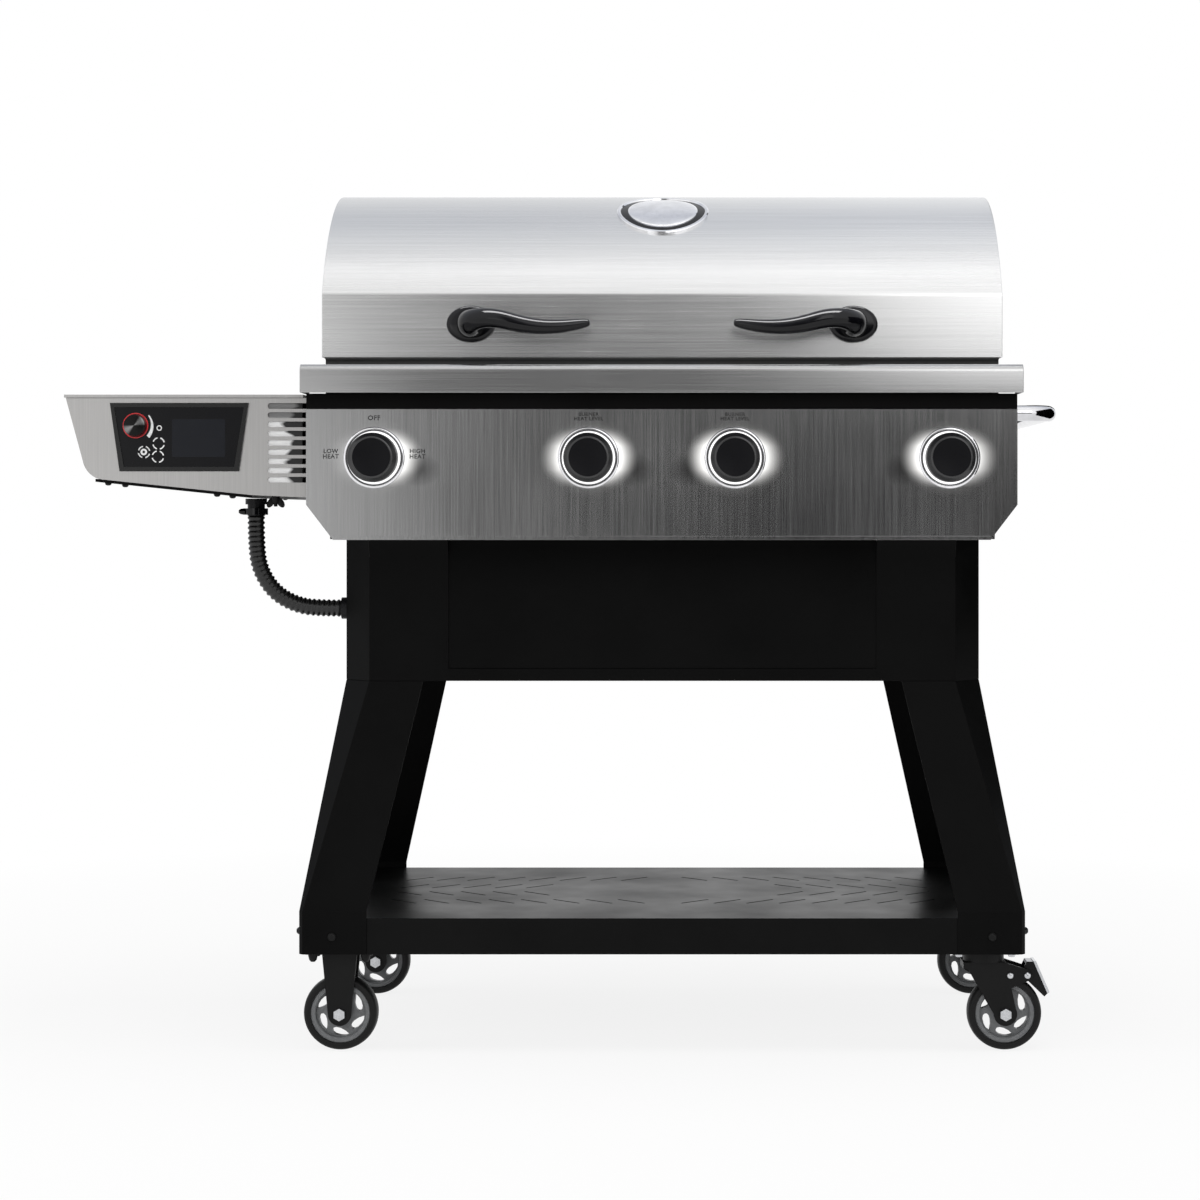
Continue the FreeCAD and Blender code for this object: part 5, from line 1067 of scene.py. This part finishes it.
# Printed marks on the glass: (across, up)
SMALL_RING = (-675.6, 850.2)
SMALL_RING_RADII = (2.3, 3.7)
KEYS = ((-676.4, 829.5), (-677.4, 811.7), (-696, 818))
KEY_ARC = {"radius": 7.6, "start": 12, "end": 72, "widths": (1.7, 1.7)}
SCREEN = {"size": (71.3, 0.3, 51), "middle": (-622.75, GLASS_FACE - 0.1, 836.8), "corner": 2}


def glass_ring(bm, across, height, radii, steps=40):
    inner, outer = radii
    profile = [(inner, 0), (inner, PRINT_DEPTH), (outer, PRINT_DEPTH), (outer, 0)]
    turned(bm, profile, place(across, GLASS_FACE, height), FRONT, steps, closed=True)


def glass_arc(bm, across, height, radius, start, end, widths, steps=18):
    """A printed arc on the glass, whose width runs from the first value to the second."""
    centre = place(across, GLASS_FACE, height)
    low, high = widths
    strip = [bm.verts.new(centre + Vector((radius + step, -PRINT_DEPTH, 0)) * MM) for step in both(low / 2)]
    edge = bm.edges.new(strip)
    sweep = math.radians(end - start)
    bmesh.ops.rotate(bm, cent=centre, matrix=Matrix.Rotation(-math.radians(start), 3, "Y"), verts=strip)
    before = set(bm.verts) - set(strip)
    bmesh.ops.spin(bm, geom=strip + [edge], cent=centre, axis=FRONT, angle=sweep, steps=steps)
    for vert in set(bm.verts) - before:
        spoke = vert.co - centre
        turn = math.degrees(math.atan2(spoke.z, spoke.x)) - start
        share = max(0, min(1, turn / (end - start)))
        grown = radius * MM + (spoke.xz.length - radius * MM) * ((1 - share) + share * high / low)
        flat = Vector((spoke.x, 0, spoke.z)).normalized() * grown
        vert.co = centre + flat + Vector((0, spoke.y, 0))


def add_glass_marks():
    """The dial's red ring and the printed marks round it."""
    dial_across, _, dial_height = DIAL
    bm = bmesh.new()
    glass_ring(bm, dial_across, dial_height, DIAL_RING, steps=64)
    finished("dial_red_ring", bm, accent_red, "cart")

    bm = bmesh.new()
    glass_arc(bm, dial_across, dial_height, **DIAL_ARC)
    glass_ring(bm, *SMALL_RING, SMALL_RING_RADII)
    for across, height in KEYS:
        for turn in range(0, 360, 90):
            start = turn + KEY_ARC["start"]
            end = turn + KEY_ARC["end"]
            glass_arc(bm, across, height, KEY_ARC["radius"], start, end, KEY_ARC["widths"], steps=8)
    finished("controller_marks", bm, print_white, "cart", clean=False)


def dress_controller():
    """Marks on the glass, a dark screen, a spun dial and a rounded bezel."""
    add_glass_marks()
    bm = bmesh.new()
    add_block(bm, SCREEN["size"], SCREEN["middle"])
    through = [edge for edge in bm.edges
               if abs((edge.verts[0].co - edge.verts[1].co).normalized().y) > 0.9]
    round_edges(bm, through, SCREEN["corner"], 4)
    finished("controller_screen", bm, off_screen, "cart")

    bm = bmesh.new()
    turned(bm, DIAL_PROFILE, place(*DIAL), FRONT, steps=72)
    finished("controller_dial_dressed", bm, spun_black_painted_sheen, "dial", replaces=["controller_dial"],
             sharp=30)
    softened("controller_bezel", bezel_black, "cart", 1.2)


POWER_RING = [(1.8, 0), (1.8, 0.2), (4.4, 0.2), (4.4, 0)]


def add_power_mark():
    """A printed ring on the power button."""
    bm = bmesh.new()
    turned(bm, POWER_RING, front_of("power_button"), FRONT, steps=36, closed=True)
    finished("power_mark", bm, print_white, "button")


# A sheet behind the vents whose colour is a painted reflection and painted shade
VENT_LIGHT_SHEET = {"size": (52, 0.8, 116), "middle": (-510, -297, 831)}


def add_vent_painted_light_sheet():
    bm = bmesh.new()
    add_block(bm, VENT_LIGHT_SHEET["size"], VENT_LIGHT_SHEET["middle"])
    finished("vent_lining", bm, vent_lining, "cart")


# Lettering on the panel: words, place across and up, and size
PRINTS = {
    "print_off": ("OFF", -385, 863, 9),
    "print_low": ("LOW\nHEAT", -443, 815, 8),
    "print_high": ("HIGH\nHEAT", -327, 815, 8),
    "print_level_1": ("BURNER\nHEAT LEVEL", -98, 865, 6.6),
    "print_level_2": ("BURNER\nHEAT LEVEL", 98, 865, 6.6),
}
PRINT_LIFT = 0.05


def add_print(name, words, across, height, size):
    """Small black lettering on the panel."""
    letters = bpy.data.curves.new(name, "FONT")
    letters.body = words
    letters.size = size * MM
    letters.align_x = "CENTER"
    letters.align_y = "CENTER"
    letters.space_line = 0.9
    letters.space_character = 1.12
    letters.resolution_u = 3
    letters.extrude = 0.04 * MM
    letters.offset = 0.2 * MM
    holder = bpy.data.objects.new(name, letters)
    mesh = bpy.data.meshes.new_from_object(holder)
    bpy.data.objects.remove(holder)
    mesh.transform(Matrix.Translation(place(across, PANEL_FACE - PRINT_LIFT, height)) @ UPRIGHT)
    mesh.name = name
    mesh.materials.clear()
    mesh.materials.append(print_black.material)
    piece = add_object(name, mesh)
    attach(piece, "cart")


def add_lettering():
    for name, settings in PRINTS.items():
        add_print(name, *settings)


# Conduit

# The route's control points, in millimetres as the other sizes
CONDUIT_ROUTE = [
    (-566.5, -166, 732),
    (-566.5, -166, 695),
    (-562, -166, 658),
    (-541, -166, 625),
    (-508, -166, 607),
    (-476, -166, 603.5),
    (-447, -166, 603.5),
]
CONDUIT_DIAMETER = 24
CONDUIT_RIBS = 30
# Shares of the full radius over one rib
RIB = [0.86, 1.0, 1.0, 0.86]


def conduit_line():
    """Points read from the route's smooth spline."""
    curve = bpy.data.curves.new("conduit_line", "CURVE")
    curve.dimensions = "3D"
    spline = curve.splines.new("NURBS")
    spline.points.add(len(CONDUIT_ROUTE) - 1)
    for point, spot in zip(spline.points, CONDUIT_ROUTE):
        point.co = (*place(*spot), 1)
    spline.order_u = 3
    spline.use_endpoint_u = True
    spline.resolution_u = 40
    holder = bpy.data.objects.new("conduit_line", curve)
    mesh = bpy.data.meshes.new_from_object(holder)
    points = [vert.co.copy() for vert in mesh.vertices]
    bpy.data.objects.remove(holder)
    bpy.data.meshes.remove(mesh)
    return points


def evenly(points, count):
    """The same line in equal steps, with the direction at each, and its length."""
    lengths = [0]
    for before, after in zip(points, points[1:]):
        lengths.append(lengths[-1] + (after - before).length)
    steps = []
    segment = 0
    for number in range(count + 1):
        want = lengths[-1] * number / count
        while segment < len(points) - 2 and lengths[segment + 1] < want:
            segment += 1
        share = (want - lengths[segment]) / (lengths[segment + 1] - lengths[segment])
        direction = points[segment + 1] - points[segment]
        steps.append((points[segment] + direction * share, direction.normalized()))
    return steps, lengths[-1]


def dress_conduit():
    """A ribbed hose from the side box to the cabinet."""
    points = conduit_line()
    steps, length = evenly(points, CONDUIT_RIBS * len(RIB))
    stations = [(point, direction, CONDUIT_DIAMETER / 2 * RIB[number % len(RIB)])
                for number, (point, direction) in enumerate(steps)]
    bm = bmesh.new()
    drawn_tube(bm, stations, 24)
    hose = finished("conduit_hose", bm, conduit_black, "cart", replaces=["conduit"], sharp=60)


make_camera()
dress_conduit()
make_lamps()
make_world()
make_floor()
make_dark_wall()
add_flags()
paint_nodes()
dress_cart()
dress_wheels()
dress_brakes()
dress_knobs()
dress_bezels()
add_ring_lamps()
dress_handles()
add_badge()
dress_controller()
add_power_mark()
light_handles()
add_vent_painted_light_sheet()
add_lettering()
add_fasteners()
add_wing_nut()
add_conduit_clamp()

bpy.context.scene.view_settings.view_transform = "Standard"
